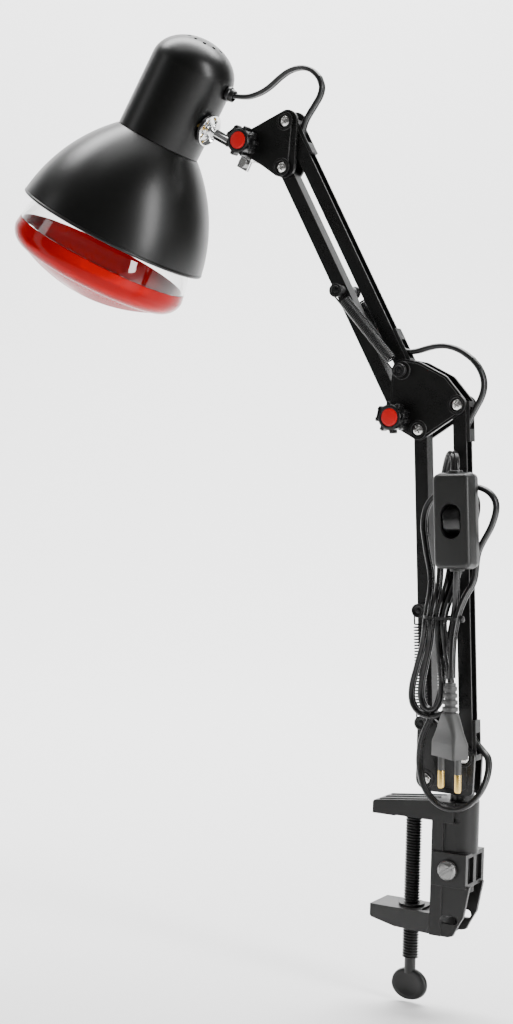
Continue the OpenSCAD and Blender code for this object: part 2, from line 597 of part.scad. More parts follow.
module rim_bead() color("#3a3a38") on_head() translate([0, 0, mouth_at + 0.3]) rotate_extrude()
    translate([mouth_d / 2 - 0.7, 0]) circle(r = 1.1, $fn = 24);
module grommet() color("#151515") on_head() translate([0, 0, grommet_up]) rotate([0, 90, grommet_turn])
    translate([0, 0, neck_d / 2 - 2.4]) difference() {
        union() {
            cylinder(h = 5, d = grommet_d - 2.1);
            translate([0, 0, 2.6]) cylinder(h = 2.4, d = grommet_d);
            translate([0, 0, 5]) cylinder(h = 3, d1 = grommet_d - 1, d2 = cord_w + 2);
        }
        translate([0, 0, -1]) cylinder(h = 12, d = cord_w + 1.2);
    }

// ---- lampholder and bulb ----
holder_d = 40;
holder_top = -26;
cap_top = 0;
// Radius and height at which the glass comes out of the screw cap
glass_low = [13.2, 26.2];
module lamp_holder() color("#e6e2d6") on_head() difference() {
    rotate_extrude() polygon([[0, holder_top], [13, holder_top], [16, holder_top + 3], [holder_d / 2, holder_top + 12],
        [holder_d / 2, glass_low[1] + 1], [holder_d / 2 - 2, glass_low[1] + 3],
        [glass_low[0] + 3.2, glass_low[1] + 3],
        [glass_low[0] + 0.6, glass_low[1] - 0.5], [glass_low[0] + 0.6, cap_top - 4], [0, cap_top - 4]]);
    translate([0, 0, holder_top - 1]) cylinder(h = 12, d = 8.2);
}
module holder_stem() color("#9a9a96") on_head() difference() {
    union() {
        translate([0, 0, -neck_up - dome_h + sheet_t + 2.6])
            cylinder(h = neck_up + dome_h + holder_top + 4.4 - sheet_t, d = 8);
        translate([-3.5, -24, -neck_up - 0.5]) cube([7, 48, 1.6]);
    }
    translate([0, 0, -neck_up - dome_h]) cylinder(h = far, d = 5);
}
bulb_r = bulb_d / 2;
bulb_tip_at = bulb_wide_at + bulb_tip_drop;
red_at = bulb_wide_at - red_back;
face_r = bulb_r - 11.5;
face_at = bulb_tip_at - 12;
face_round = 3;
glass_side = arc_points([19, 34], [bulb_r, bulb_wide_at], 8, 10);
glass_side_in = arc_points([19 - glass_t, 34], [bulb_r - glass_t, bulb_wide_at], 8, 10);
function before(line, z) = [for (p = line) if (p[1] < z - 0.5) p];
function radius_at(line, z) = [for (i = [0:len(line) - 2])
    let (a = line[i], b = line[i + 1]) if (a[1] <= z && b[1] > z)
    a[0] + (b[0] - a[0]) * (z - a[1]) / (b[1] - a[1])][0];
module bulb_glass() color([0.92, 0.93, 0.92, 0.4]) on_head() rotate_extrude() polygon(concat(
    [glass_low], before(glass_side, red_at), [[radius_at(glass_side, red_at - 0.05), red_at - 0.05]],
    [[radius_at(glass_side_in, red_at - 0.05), red_at - 0.05]],
    [for (i = [len(before(glass_side_in, red_at)) - 1:-1:0]) glass_side_in[i]], [glass_low - [glass_t, 0]]));
module bulb_front() color([0.85, 0.05, 0.06, 0.7]) on_head() rotate_extrude() polygon(concat(
    [[radius_at(glass_side, red_at + 0.05), red_at + 0.05]], bulb_outer(0), bulb_inner(),
    [[radius_at(glass_side_in, red_at + 0.05), red_at + 0.05]]));
function bulb_outer(t) = concat(
    arc_points([bulb_r, bulb_wide_at], [face_r, face_at], face_round, 8),
    [for (i = [1:8]) let (r = face_r * (8 - i) / 8)
        [r, face_at + (bulb_tip_at - face_at) * (1 - pow(r / face_r, 2))]]);
function bulb_inner() = concat(
    [for (i = [8:-1:1]) let (r = (face_r - glass_t) * (8 - i) / 8)
        [r, face_at - glass_t + (bulb_tip_at - face_at) * (1 - pow(r / (face_r - glass_t), 2))]],
    [for (i = [8:-1:0])
        arc_points([bulb_r - glass_t, bulb_wide_at], [face_r - glass_t, face_at - glass_t], face_round, 8)[i]]);
module bulb_cap() color("#c8b27a") on_head() difference() {
    union() {
        translate([0, 0, 4]) cylinder(h = 22.1, d = 26.4);
        translate([0, 0, cap_top]) cylinder(h = 4.1, d1 = 12, d2 = 24);
    }
    translate([0, 0, 8]) cylinder(h = 30, d = 23.6);
}
module filament() color("#8a8a86") on_head() {
    translate([0, 0, 8]) cylinder(h = 31, d = 9);
    for (s = [-1, 1]) translate([s * 3, 0, 38]) rotate([0, s * 12, 0]) cylinder(h = 46, d = 1.2);
    translate([0, 0, 82.6]) rotate_extrude() translate([12.4, 0]) circle(d = 1.6, $fn = 16);
}

// ---- cords ----
// One tube along the points, its section w wide along each ring's direction in `wide` and t thick
function unit(v) = v / norm(v);
function tangent_at(p, i) = unit(p[min(i + 1, len(p) - 1)] - p[max(i - 1, 0)]);
function tube_points(p, w, t, sides, wide) = [for (i = [0:len(p) - 1])
    let (d = tangent_at(p, i), a = unit(wide[i] - (wide[i] * d) * d), b = cross(d, a))
    for (k = [0:sides - 1]) let (q = (k + 0.5) * 360 / sides) p[i] + cos(q) * w / 2 * a + sin(q) * t / 2 * b];
module skin(points, rings, sides) polyhedron(
    points = points,
    faces = concat([[for (k = [0:sides - 1]) k]],
        [for (i = [0:rings - 2]) for (k = [0:sides - 1]) let (a = i * sides + k, b = i * sides + (k + 1) % sides)
            each [[a, a + sides, b + sides], [a, b + sides, b]]],
        [[for (k = [sides - 1:-1:0]) (rings - 1) * sides + k]]),
    convexity = 10);
module tube(p, w, t, sides, wide) skin(tube_points(p, w, t, sides, wide), len(p), sides);

// The least gap between stretches of one flat cord, whose width lies along Y
function squeezed(p) = [p[0], p[1] * cord_t / cord_w, p[2]];
function least_gap(p, apart) = min([for (i = [0:len(p) - 1 - apart]) for (j = [i + apart:len(p) - 1])
    norm(squeezed(p[i]) - squeezed(p[j]))]) - cord_t;

// Balance spring from the bolt at a down to the anchor at b, with a hook round each groove
module spring(a, b, y) {
    run = b - a;
    t = [run[0], 0, run[1]] / norm(run);
    n = [t[2], 0, -t[0]];
    top = [a[0], y, a[1]];
    low = [b[0], y, b[1]];
    rc = (spring_d - wire_d) / 2;
    rh = (spool_groove_d + wire_d) / 2 + 0.2;
    coil = norm(run) - 2 * coil_start;
    pitch = coil / spring_curls;
    hook_a = [for (f = [200:-25:0]) top + rh * (cos(f) * n - sin(f) * t)];
    hook_b = [for (f = [0:25:200]) low + rh * (cos(f) * n + sin(f) * t)];
    curls = [for (i = [0:spring_curls * 8]) let (q = i * 45)
        top + (coil_start + pitch * q / 360) * t + rc * (cos(q) * n + sin(q) * [0, 1, 0])];
    line = concat(straight_end(hook_a), curls, reverse(straight_end(reverse(hook_b))));
    color("#1b1b1b") tube(line, wire_d, wire_d, 6, carried(line, [0, 1, 0]));
    echo(spring_gap = pitch - wire_d);
}
coil_start = 8.4;
function across(v, d) = unit(v - (v * d) * d);
// One direction across the line at each of its points, carried along without a twist
function carried(p, first) = [for (i = 0, a = across(first, tangent_at(p, 0)); i < len(p);
    i = i + 1, a = i < len(p) ? across(a, tangent_at(p, i)) : a) a];
function reverse(p) = [for (i = [len(p) - 1:-1:0]) p[i]];
function straight_end(p) = concat([p[0] + wire_d * unit(p[0] - p[1])], p);
module lower_springs() for (s = [-1, 1]) spring(lower_bolt, base_anchor, s * spring_y);
module upper_springs() for (s = [-1, 1]) spring(upper_bolt, upper_rear, s * spring_y);

// Routes of the cord. The head's and the elbow's are measured from the rear pivots there
function from_place(p, line) = [for (q = line) q + [p[0], 0, p[1]]];
head_route = from_place(head_rear, [
    [-48, 7.5, 21.2], [-44.4, 8, 20.7], [-40.4, 8.4, 20.2], [-34.6, 8.2, 20.1], [-26.1, 7.2, 21.8],
    [-18.9, 6, 24.8], [-11.7, 4.6, 29.1], [-4.5, 3.2, 32.5], [2.5, 2, 33.9], [8.9, 1, 33.5],
    [15, 0.3, 31], [19.8, 0, 26.5], [21.8, 0, 21], [20.7, 0, 15.5], [17.4, 0, 10.2], [13.7, 0, 5],
    [10.8, 0, 0.2], [9, 0, -5.7], [9, 0, -11.2], [10, 0, -17.2], [11.6, 0, -22.8]]);
elbow_route = from_place(elbow_rear, [
    [-50.3, 0, 42.3], [-46.3, 0, 37.7], [-41.3, 0, 33.7], [-36.1, 0, 31.7], [-30.1, 0, 32.1],
    [-24.1, 0, 33.7], [-18.1, 0, 34.9], [-12.1, 0, 35.1], [-6.1, 0, 33.9], [-0.1, 0, 31.3],
    [5.9, 0, 27.3], [10.4, 0, 22.3], [13.3, 0, 16.3], [13.9, 0, 10.3], [12.3, 0, 4.3],
    [9.1, 0, -1.7], [5.7, 0, -7.9], [3.3, 0, -13.9], [1.4, 0, -20.1], [0.5, 0, -26.1]]);
lead_route = [
    [45.3, 0, 63.4], [46.8, 0, 57.6], [49.4, 0, 51.8], [52.6, 0, 47.4], [56.6, -0.6, 43.8], [60.6, -2.2, 40.4],
    [62.6, -5, 36], [63.4, -8.6, 30.5], [62.6, -12.4, 24.4], [60, -15.6, 18.6], [55.8, -18, 13.8], [50.4, -19.2, 11],
    [44, -19.4, 10.4], [37.6, -19.4, 12.2], [31.8, -19.4, 16.4], [27.4, -19.4, 22.4], [25, -19.4, 29.6],
    [24, -19.4, 37.4],
    [24.4, -19.4, 45.2], [26, -19.2, 52.6], [28.8, -18.8, 59.6], [32, -18.2, 67], [34.8, -17.8, 75],
    [36.8, -17.8, 84],
    [38.4, -17.8, 94], [39.8, -17.8, 104], [41.2, -18, 114], [43, -18.3, 124], [44.6, -19.6, 133], [45.6, -21.6, 141],
    [46.4, -23.2, 148], [46.8, -23.5, 153.4]];
fold_route = [
    [43.6, -23.5, 210], [43.2, -23, 214], [41.6, -20.6, 218.6], [38.8, -16.8, 220.8], [35.6, -12.4, 220.4],
    [32.4, -8.8, 216.6],
    [30.2, -6.8, 210.6], [29, -6.6, 203], [28.8, -6.6, 194], [29.6, -6.6, 184], [31.8, -6.2, 174], [34, -6.4, 164],
    [35.8, -8.2, 153.6], [36.2, -12.6, 144], [35.8, -18.2, 134]];
tail_route = [[52.8, -12.4, 146.6], [49.6, -17.2, 137], [47.8, -22.4, 127], [47.4, -26.6, 116], [48.2, -29.8, 106],
    [48.6, -30.8, 97], [48.8, -31, 90]];

// The hank's loops: q turns from the right of the tie, down, round and up, two turns and a bit
tie_z = 124;
strand_step = 3.8;
hank_at = [34.5, -23.5];
top_reach = 71;
low_reach = 54;
turn_growth = 8;
top_shift = 12;
low_shift = -2.2;
top_open = 20;
last_top_open = 47;
low_open = 12;
low_open_growth = 20;
behind_switch = 11.7;
function hank_turn(u) = (u - 0.25) / 2;
function hank_point(q) = let (u = q / 360, c = cos(q), s = sin(q), k = hank_turn(u), up = c > 0,
    z = tie_z + c * ((up ? top_reach : low_reach) + turn_growth * k),
    open = up ? (u > 1.5 ? last_top_open : top_open) : low_open + low_open_growth * k,
    x = hank_at[0] + (up ? top_shift : low_shift) * c * c + s * (strand_step * u + open * c * c),
    f = min(1, max(0, (z - tie_z) / 26)), y = hank_at[1] + behind_switch * f * f * (3 - 2 * f))
    [x, y, z];
hank_turns = [for (q = [90:15:780]) hank_point(q)];
hank_line = concat(fold_route, hank_turns, tail_route);
module cord_hank() color("#161616") {
    tube(hank_line, cord_w, cord_t, 6,
        concat(fold_wide, [for (p = hank_turns) [0, 1, 0]], [for (p = tail_route) [0.05, 1, 0]]));
    echo(hank_gap = least_gap(hank_line, 8));
}
fold_wide = [for (i = [0:len(fold_route) - 1])
    let (a = 90 * max(0, (i - 9) / (len(fold_route) - 9))) [cos(a), sin(a), 0.02]];
// The stretch of a route from point a to point b. Neighbouring stretches meet in the same end face
module flat_cord(route, a, b) color("#161616") {
    whole = tube_points(route, cord_w, cord_t, 8, [for (p = route) [0, 1, 0.001]]);
    skin([for (k = [a * 8:b * 8 + 7]) whole[k]], b - a + 1, 8);
}
module head_cord_front() flat_cord(head_route, 0, 6);
module head_cord_middle() flat_cord(head_route, 6, 11);
module head_cord_rear() flat_cord(head_route, 11, len(head_route) - 1);
module elbow_cord_upper() flat_cord(elbow_route, 0, 10);
module elbow_cord_lower() flat_cord(elbow_route, 10, len(elbow_route) - 1);
module lead_cord() flat_cord(lead_route, 0, len(lead_route) - 1);
// The tie is a thin strap round all the strands
tie_at = [38, -21.8];
tie_half = [12, 6.3];
module tie_outline(r) translate(tie_at) blob([for (c = [[-1, -1], [1, -1], [1, 1], [-1, 1]])
    [[c[0] * (tie_half[0] - 4), c[1] * (tie_half[1] - 4)], r]]);
module hank_tie() color("#202020") translate([0, 0, tie_z - 1.1]) linear_extrude(2.2) difference() {
    tie_outline(5);
    tie_outline(4);
}

// ---- switch ----
switch_at = [45.2, -23.5, 181.6];
module on_switch() translate(switch_at) rotate([0, -lower_lean, 0]) children();
switch_w = 24.5;
switch_h = 56.8;
switch_t = 16.6;
module rounded(w, h, r) offset(r) square([w - 2 * r, h - 2 * r], center = true);
module switch_body() color("#262625") on_switch() difference() {
    union() {
        for (s = [-1, 1]) hull() {
            rotate([90 * s, 0, 0]) linear_extrude(0.5) rounded(switch_w, switch_h, 3);
            translate([0, -s * (switch_t / 2 - 0.5), 0]) rotate([90 * s, 0, 0]) linear_extrude(0.5)
                rounded(switch_w - 3, switch_h - 3, 2.4);
        }
        for (s = [-1, 1]) translate([0, 0, s * (switch_h / 2 - 0.6)]) cylinder(h = 2.4, d = cord_w + 3.4, center = true);
    }
    // recess for the rocker, and bores for its pin
    plate(-switch_t / 2 - 1, rocker_y + rocker_foot + 1.3) rocker_outline(0);
    translate([0, rocker_y, 0]) rotate([0, 90, 0]) cylinder(h = 18, d = 2 + 2 * fit, center = true);
    for (s = [-1, 1]) translate([0, 0, s * (switch_h / 2 + 0.2)]) cylinder(h = 3.4, d = cord_w + 0.4, center = true);
}
rocker_y = -switch_t / 2 + 2.2;
rocker_tilt = 6;
// How far the rocker reaches into the switch below its pin
rocker_foot = 4.4;
module rocker_outline(inset) blob([for (s = [-1, 1]) [[0, s * 3.9], 6.4 - inset]]);
module switch_rocker() color("#1a1a1a") on_switch() translate([0, rocker_y, 0]) rotate([rocker_tilt, 0, 0]) {
    difference() {
        intersection() {
            plate(-9, rocker_foot) rocker_outline(0.6);
            rotate([0, 90, 0]) cylinder(h = 40, r = 10.2, center = true);
        }
        // the hollow across the rocker's face
        translate([0, -24.6, 0]) rotate([0, 90, 0]) cylinder(h = 40, r = 18, center = true);
    }
    rotate([0, 90, 0]) cylinder(h = 17, d = 2, center = true);
}

// ---- mains plug ----
module on_plug() translate([48.8, -31, 43.6]) rotate([0, -2, -34.6]) children();
module mains_plug() color("#4a4a49") on_plug() difference() {
    union() {
        hull() {
            translate([0, 0, 4]) linear_extrude(8, center = true) rounded(25.6, 11, 1.6);
            translate([0, 0, 24.4]) linear_extrude(2, center = true) rounded(11, 9.4, 3);
        }
        for (i = [0:3]) translate([0, 0, 26.4 + 4 * i]) cylinder(h = 2.6, d1 = 9.2 - 0.4 * i, d2 = 8.8 - 0.4 * i);
        translate([0, 0, 24]) cylinder(h = 19.4, d = 6.8);
    }
    // grip hollows on both broad sides
    for (s = [-1, 1]) translate([0, s * 26.6, 15]) rotate([0, 90, 0]) cylinder(h = 9, r = 21.8, center = true);
    for (s = [-1, 1]) translate([s * 9.5, 0, -1]) cylinder(h = 9, d = 4 + 2 * fit);
    translate([0, 0, 42.2]) scale([1, cord_t / cord_w, 1]) cylinder(h = 3, d = cord_w);
}
module plug_pins() color("#c4b489") on_plug() for (s = [-1, 1]) translate([s * 9.5, 0, 0]) {
    translate([0, 0, -19]) cylinder(h = 26, d = 4);
    translate([0, 0, -20]) cylinder(h = 1, d1 = 3, d2 = 4);
}

clamp_body();
lower_jaw();
clamp_screw();
locking_screw();
base_bracket();
swivel_pin();
swivel_collar();
base_bolts();
base_spools();
lower_tube();
lower_spring_bolt();
lower_channel();
lower_cord_run();
lower_clips();
elbow_front_plate();
elbow_rear_plate();
elbow_bolts();
elbow_spools();
elbow_knob();
elbow_knob_cap();
upper_tube();
upper_spring_bolt();
upper_channel();
upper_cord_run();
upper_clips();
bracket_front_plate();
bracket_rear_plate();
bracket_bolts();
head_knob();
head_knob_cap();
rod_clamp();
rod_clamp_bolt();
rod();
rosette();
rosette_screws();
neck();
shade();
rim_bead();
grommet();
lamp_holder();
holder_stem();
bulb_glass();
bulb_front();
bulb_cap();
filament();
lower_springs();
upper_springs();
head_cord_front();
head_cord_middle();
head_cord_rear();
elbow_cord_upper();
elbow_cord_lower();
lead_cord();
cord_hank();
hank_tie();
switch_body();
switch_rocker();
mains_plug();
plug_pins();
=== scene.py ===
# Infrared heat therapy lamp: the visual model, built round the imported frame.
# Shapes are worked out in millimetres and made in metres, in the row frame.
import math

import bpy
import bmesh
import numpy as np
from mathutils import Matrix, Vector


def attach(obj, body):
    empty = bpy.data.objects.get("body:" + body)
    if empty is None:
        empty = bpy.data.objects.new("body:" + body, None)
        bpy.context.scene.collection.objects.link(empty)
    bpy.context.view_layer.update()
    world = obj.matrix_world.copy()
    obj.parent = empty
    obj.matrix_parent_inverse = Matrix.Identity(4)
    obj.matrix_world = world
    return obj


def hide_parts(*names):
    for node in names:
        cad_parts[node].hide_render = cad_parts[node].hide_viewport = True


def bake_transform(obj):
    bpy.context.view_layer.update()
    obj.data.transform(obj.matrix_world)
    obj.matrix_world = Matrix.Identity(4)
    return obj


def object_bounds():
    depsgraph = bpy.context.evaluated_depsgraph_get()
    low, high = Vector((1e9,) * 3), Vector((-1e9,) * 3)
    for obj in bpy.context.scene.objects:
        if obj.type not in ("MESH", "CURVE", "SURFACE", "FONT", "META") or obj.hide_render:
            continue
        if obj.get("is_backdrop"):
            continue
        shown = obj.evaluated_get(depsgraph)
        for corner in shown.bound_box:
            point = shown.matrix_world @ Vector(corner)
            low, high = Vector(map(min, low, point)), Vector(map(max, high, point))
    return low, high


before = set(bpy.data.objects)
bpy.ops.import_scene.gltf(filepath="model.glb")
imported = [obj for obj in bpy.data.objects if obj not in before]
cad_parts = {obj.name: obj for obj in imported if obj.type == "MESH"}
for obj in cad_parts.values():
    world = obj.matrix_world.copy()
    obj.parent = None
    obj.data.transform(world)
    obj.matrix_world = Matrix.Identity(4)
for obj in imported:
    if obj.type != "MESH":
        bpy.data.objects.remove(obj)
low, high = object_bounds()
scene = bpy.context.scene
MM = 0.001


# ---------------------------------------------------------------- small helpers
def rad(a):
    return math.radians(a)


def moved(*steps):
    """One matrix from (x, y, z) moves and (axis, degrees) turns, the first being the outermost."""
    m = Matrix.Identity(4)
    for s in steps:
        m = m @ (Matrix.Translation(s) if len(s) == 3 else Matrix.Rotation(rad(s[1]), 4, s[0]))
    return m


def lean(p, length, angle):
    return (p[0] - length * math.sin(rad(angle)), p[1] + length * math.cos(rad(angle)))


def add(p, q):
    return (p[0] + q[0], p[1] + q[1])


# ---------------------------------------------------------------- places, as in the frame's source
SPINE_X = 30.0
SWIVEL_X = SPINE_X + 14
SCREW_X = SPINE_X - 17.5
LOWER_LEAN, UPPER_LEAN = 3.1, 29.1
LOWER_LEN, UPPER_LEN = 210.5, 176.7
ARM_Y = 4.25
PAD_Y = 7.3
RING_Y = PAD_Y + 1.1
BASE_FRONT = (SWIVEL_X - 21.5, 24.0)
LOWER_STEP = (29.4 * math.cos(rad(31.8)), 29.4 * math.sin(rad(31.8)))
UPPER_STEP = (28.5 * math.sin(rad(3)), 28.5 * math.cos(rad(3)))
BASE_REAR = add(BASE_FRONT, LOWER_STEP)
ELBOW_FRONT = lean(BASE_FRONT, LOWER_LEN, LOWER_LEAN)
ELBOW_REAR = add(ELBOW_FRONT, LOWER_STEP)
UPPER_FRONT = add(ELBOW_FRONT, (-13.3, 7.1))
UPPER_REAR = add(UPPER_FRONT, UPPER_STEP)
HEAD_FRONT = lean(UPPER_FRONT, UPPER_LEN, UPPER_LEAN)
HEAD_REAR = add(HEAD_FRONT, UPPER_STEP)
KNOB_AT = add(HEAD_FRONT, (-24.9, 16.4))
LOWER_BOLT = lean(BASE_FRONT, 102, LOWER_LEAN)
UPPER_BOLT = lean(UPPER_FRONT, 88, UPPER_LEAN)
BASE_ANCHOR = add(BASE_FRONT, (-1.6, 34.3))
SPRING_Y = 10.9
ROD_DIP = 27.5
ROD_FOOT = (KNOB_AT[0] - 6 * math.sin(rad(ROD_DIP)), KNOB_AT[1] - 6 * math.cos(rad(ROD_DIP)))
ROD_LEN = 38.0
NECK_R = 28.4
HEAD_TURN = -4
ON_ROD = moved((ROD_FOOT[0], 0, ROD_FOOT[1]), ("Y", ROD_DIP))
ON_HEAD = ON_ROD @ moved(("X", HEAD_TURN), (-ROD_LEN - NECK_R, 0, 0), ("X", 180))
ON_ROSETTE = ON_ROD @ moved(("X", HEAD_TURN), (-ROD_LEN, 0, 0), ("Y", 90))
ON_SWITCH = moved((45.2, -23.5, 181.6), ("Y", -LOWER_LEAN))
ON_PLUG = moved((48.8, -31, 43.6), ("Z", -34.6), ("Y", -2))


def along_y(p, y=0.0):
    """Z along -Y, towards the front, from the XZ point p."""
    return moved((p[0], y, p[1]), ("X", 90))


# ---------------------------------------------------------------- camera, at the photograph's angle
TURN, DIP, ROLL, FOCAL_PX = rad(30.5), rad(2.84), rad(1.4), 1833.0
forward = Vector((-math.sin(TURN) * math.cos(DIP), math.cos(TURN) * math.cos(DIP), -math.sin(DIP)))
level = Vector((math.cos(TURN), math.sin(TURN), 0))
upright = level.cross(forward)
right = level * math.cos(ROLL) + upright * math.sin(ROLL)
up = -level * math.sin(ROLL) + upright * math.cos(ROLL)
camera = bpy.data.objects.new("camera", bpy.data.cameras.new("camera"))
scene.collection.objects.link(camera)
camera.data.lens = FOCAL_PX * 36 / 1024
camera.data.clip_start, camera.data.clip_end = 0.05, 20
camera.data.dof.use_dof = False
camera.matrix_world = Matrix((
    (right.x, up.x, -forward.x, 0.4884), (right.y, up.y, -forward.y, -1.0066),
    (right.z, up.z, -forward.z, 0.2371), (0, 0, 0, 1)))
scene.camera = camera


# ---------------------------------------------------------------- materials
def material(name, base, rough, metal=0.0, dark=0.75, grain=900.0, bump=0.02, spread=0.08, edge=0.0,
             edge_highlight_mix=0.0, edge_highlight_colour=(0.25, 0.25, 0.25), coat=0.0, coat_rough=0.1, clear=0.0, ior=1.5,
             patches=45.0, spec=0.5, brushed=None, glow=0.0):
    """A procedural finish: patchy colour, a fine grain in roughness and bump, rounded edges, and a painted highlight of
    paler colour on the edges.
    """
    m = bpy.data.materials.new(name)
    m.use_nodes = True
    nt = m.node_tree
    nodes, link = nt.nodes, nt.links.new
    nodes.clear()
    out = nodes.new("ShaderNodeOutputMaterial")
    p = nodes.new("ShaderNodeBsdfPrincipled")
    link(p.outputs[0], out.inputs[0])
    where = nodes.new("ShaderNodeTexCoord")
    place = where.outputs["Object"]
    if brushed:
        stretch = nodes.new("ShaderNodeMapping")
        stretch.inputs["Scale"].default_value = brushed
        link(place, stretch.inputs[0])
        place = stretch.outputs[0]
    wide = nodes.new("ShaderNodeTexNoise")
    wide.inputs["Scale"].default_value = patches
    wide.inputs["Detail"].default_value = 5
    link(place, wide.inputs["Vector"])
    fine = nodes.new("ShaderNodeTexNoise")
    fine.inputs["Scale"].default_value = grain
    fine.inputs["Detail"].default_value = 3
    link(place, fine.inputs["Vector"])
    tint = nodes.new("ShaderNodeMix")
    tint.data_type = "RGBA"
    tint.inputs["A"].default_value = (base[0] * dark, base[1] * dark, base[2] * dark, 1)
    tint.inputs["B"].default_value = (*base, 1)
    link(wide.outputs[0], tint.inputs["Factor"])
    colour = tint.outputs["Result"]
    level_of = nodes.new("ShaderNodeMapRange")
    level_of.inputs["From Min"].default_value, level_of.inputs["From Max"].default_value = 0.3, 0.7
    level_of.inputs["To Min"].default_value = max(0.01, rough - spread)
    level_of.inputs["To Max"].default_value = min(1, rough + spread)
    both = nodes.new("ShaderNodeMath")
    both.operation = "MULTIPLY_ADD"
    both.inputs[1].default_value, both.inputs[2].default_value = 0.5, 0.0
    sum_of = nodes.new("ShaderNodeMath")
    sum_of.operation = "ADD"
    link(wide.outputs[0], sum_of.inputs[0])
    link(fine.outputs[0], sum_of.inputs[1])
    link(sum_of.outputs[0], both.inputs[0])
    link(both.outputs[0], level_of.inputs[0])
    link(level_of.outputs[0], p.inputs["Roughness"])
    rise = nodes.new("ShaderNodeBump")
    rise.inputs["Strength"].default_value = bump
    rise.inputs["Distance"].default_value = 0.0004
    link(fine.outputs[0], rise.inputs["Height"])
    link(rise.outputs[0], p.inputs["Normal"])
    if edge:
        round_off = nodes.new("ShaderNodeBevel")
        round_off.samples = 4
        round_off.inputs["Radius"].default_value = edge
        link(round_off.outputs[0], rise.inputs["Normal"])
        # Painted highlight: near the edges the colour is mixed towards the paler edge_highlight_colour, standing in for
        # light caught by the edges.
        if edge_highlight_mix:
            true = nodes.new("ShaderNodeNewGeometry")
            dot = nodes.new("ShaderNodeVectorMath")
            dot.operation = "DOT_PRODUCT"
            link(round_off.outputs[0], dot.inputs[0])
            link(true.outputs["Normal"], dot.inputs[1])
            highlight_mask = nodes.new("ShaderNodeMapRange")
            highlight_mask.inputs["From Min"].default_value, highlight_mask.inputs["From Max"].default_value = 0.97, 0.8
            highlight_mask.inputs["To Max"].default_value = edge_highlight_mix
            link(dot.outputs["Value"], highlight_mask.inputs[0])
            painted_highlight = nodes.new("ShaderNodeMix")
            painted_highlight.data_type = "RGBA"
            painted_highlight.inputs["B"].default_value = (*edge_highlight_colour, 1)
            link(highlight_mask.outputs[0], painted_highlight.inputs["Factor"])
            link(colour, painted_highlight.inputs["A"])
            colour = painted_highlight.outputs["Result"]
    link(colour, p.inputs["Base Color"])
    p.inputs["Metallic"].default_value = metal
    p.inputs["Specular IOR Level"].default_value = spec
    p.inputs["Coat Weight"].default_value = coat
    p.inputs["Coat Roughness"].default_value = coat_rough
    p.inputs["Transmission Weight"].default_value = clear
    p.inputs["IOR"].default_value = ior
    if glow:
        p.inputs["Emission Color"].default_value = (*base, 1)
        p.inputs["Emission Strength"].default_value = glow
    m.diffuse_color = (*base, 1)
    return m


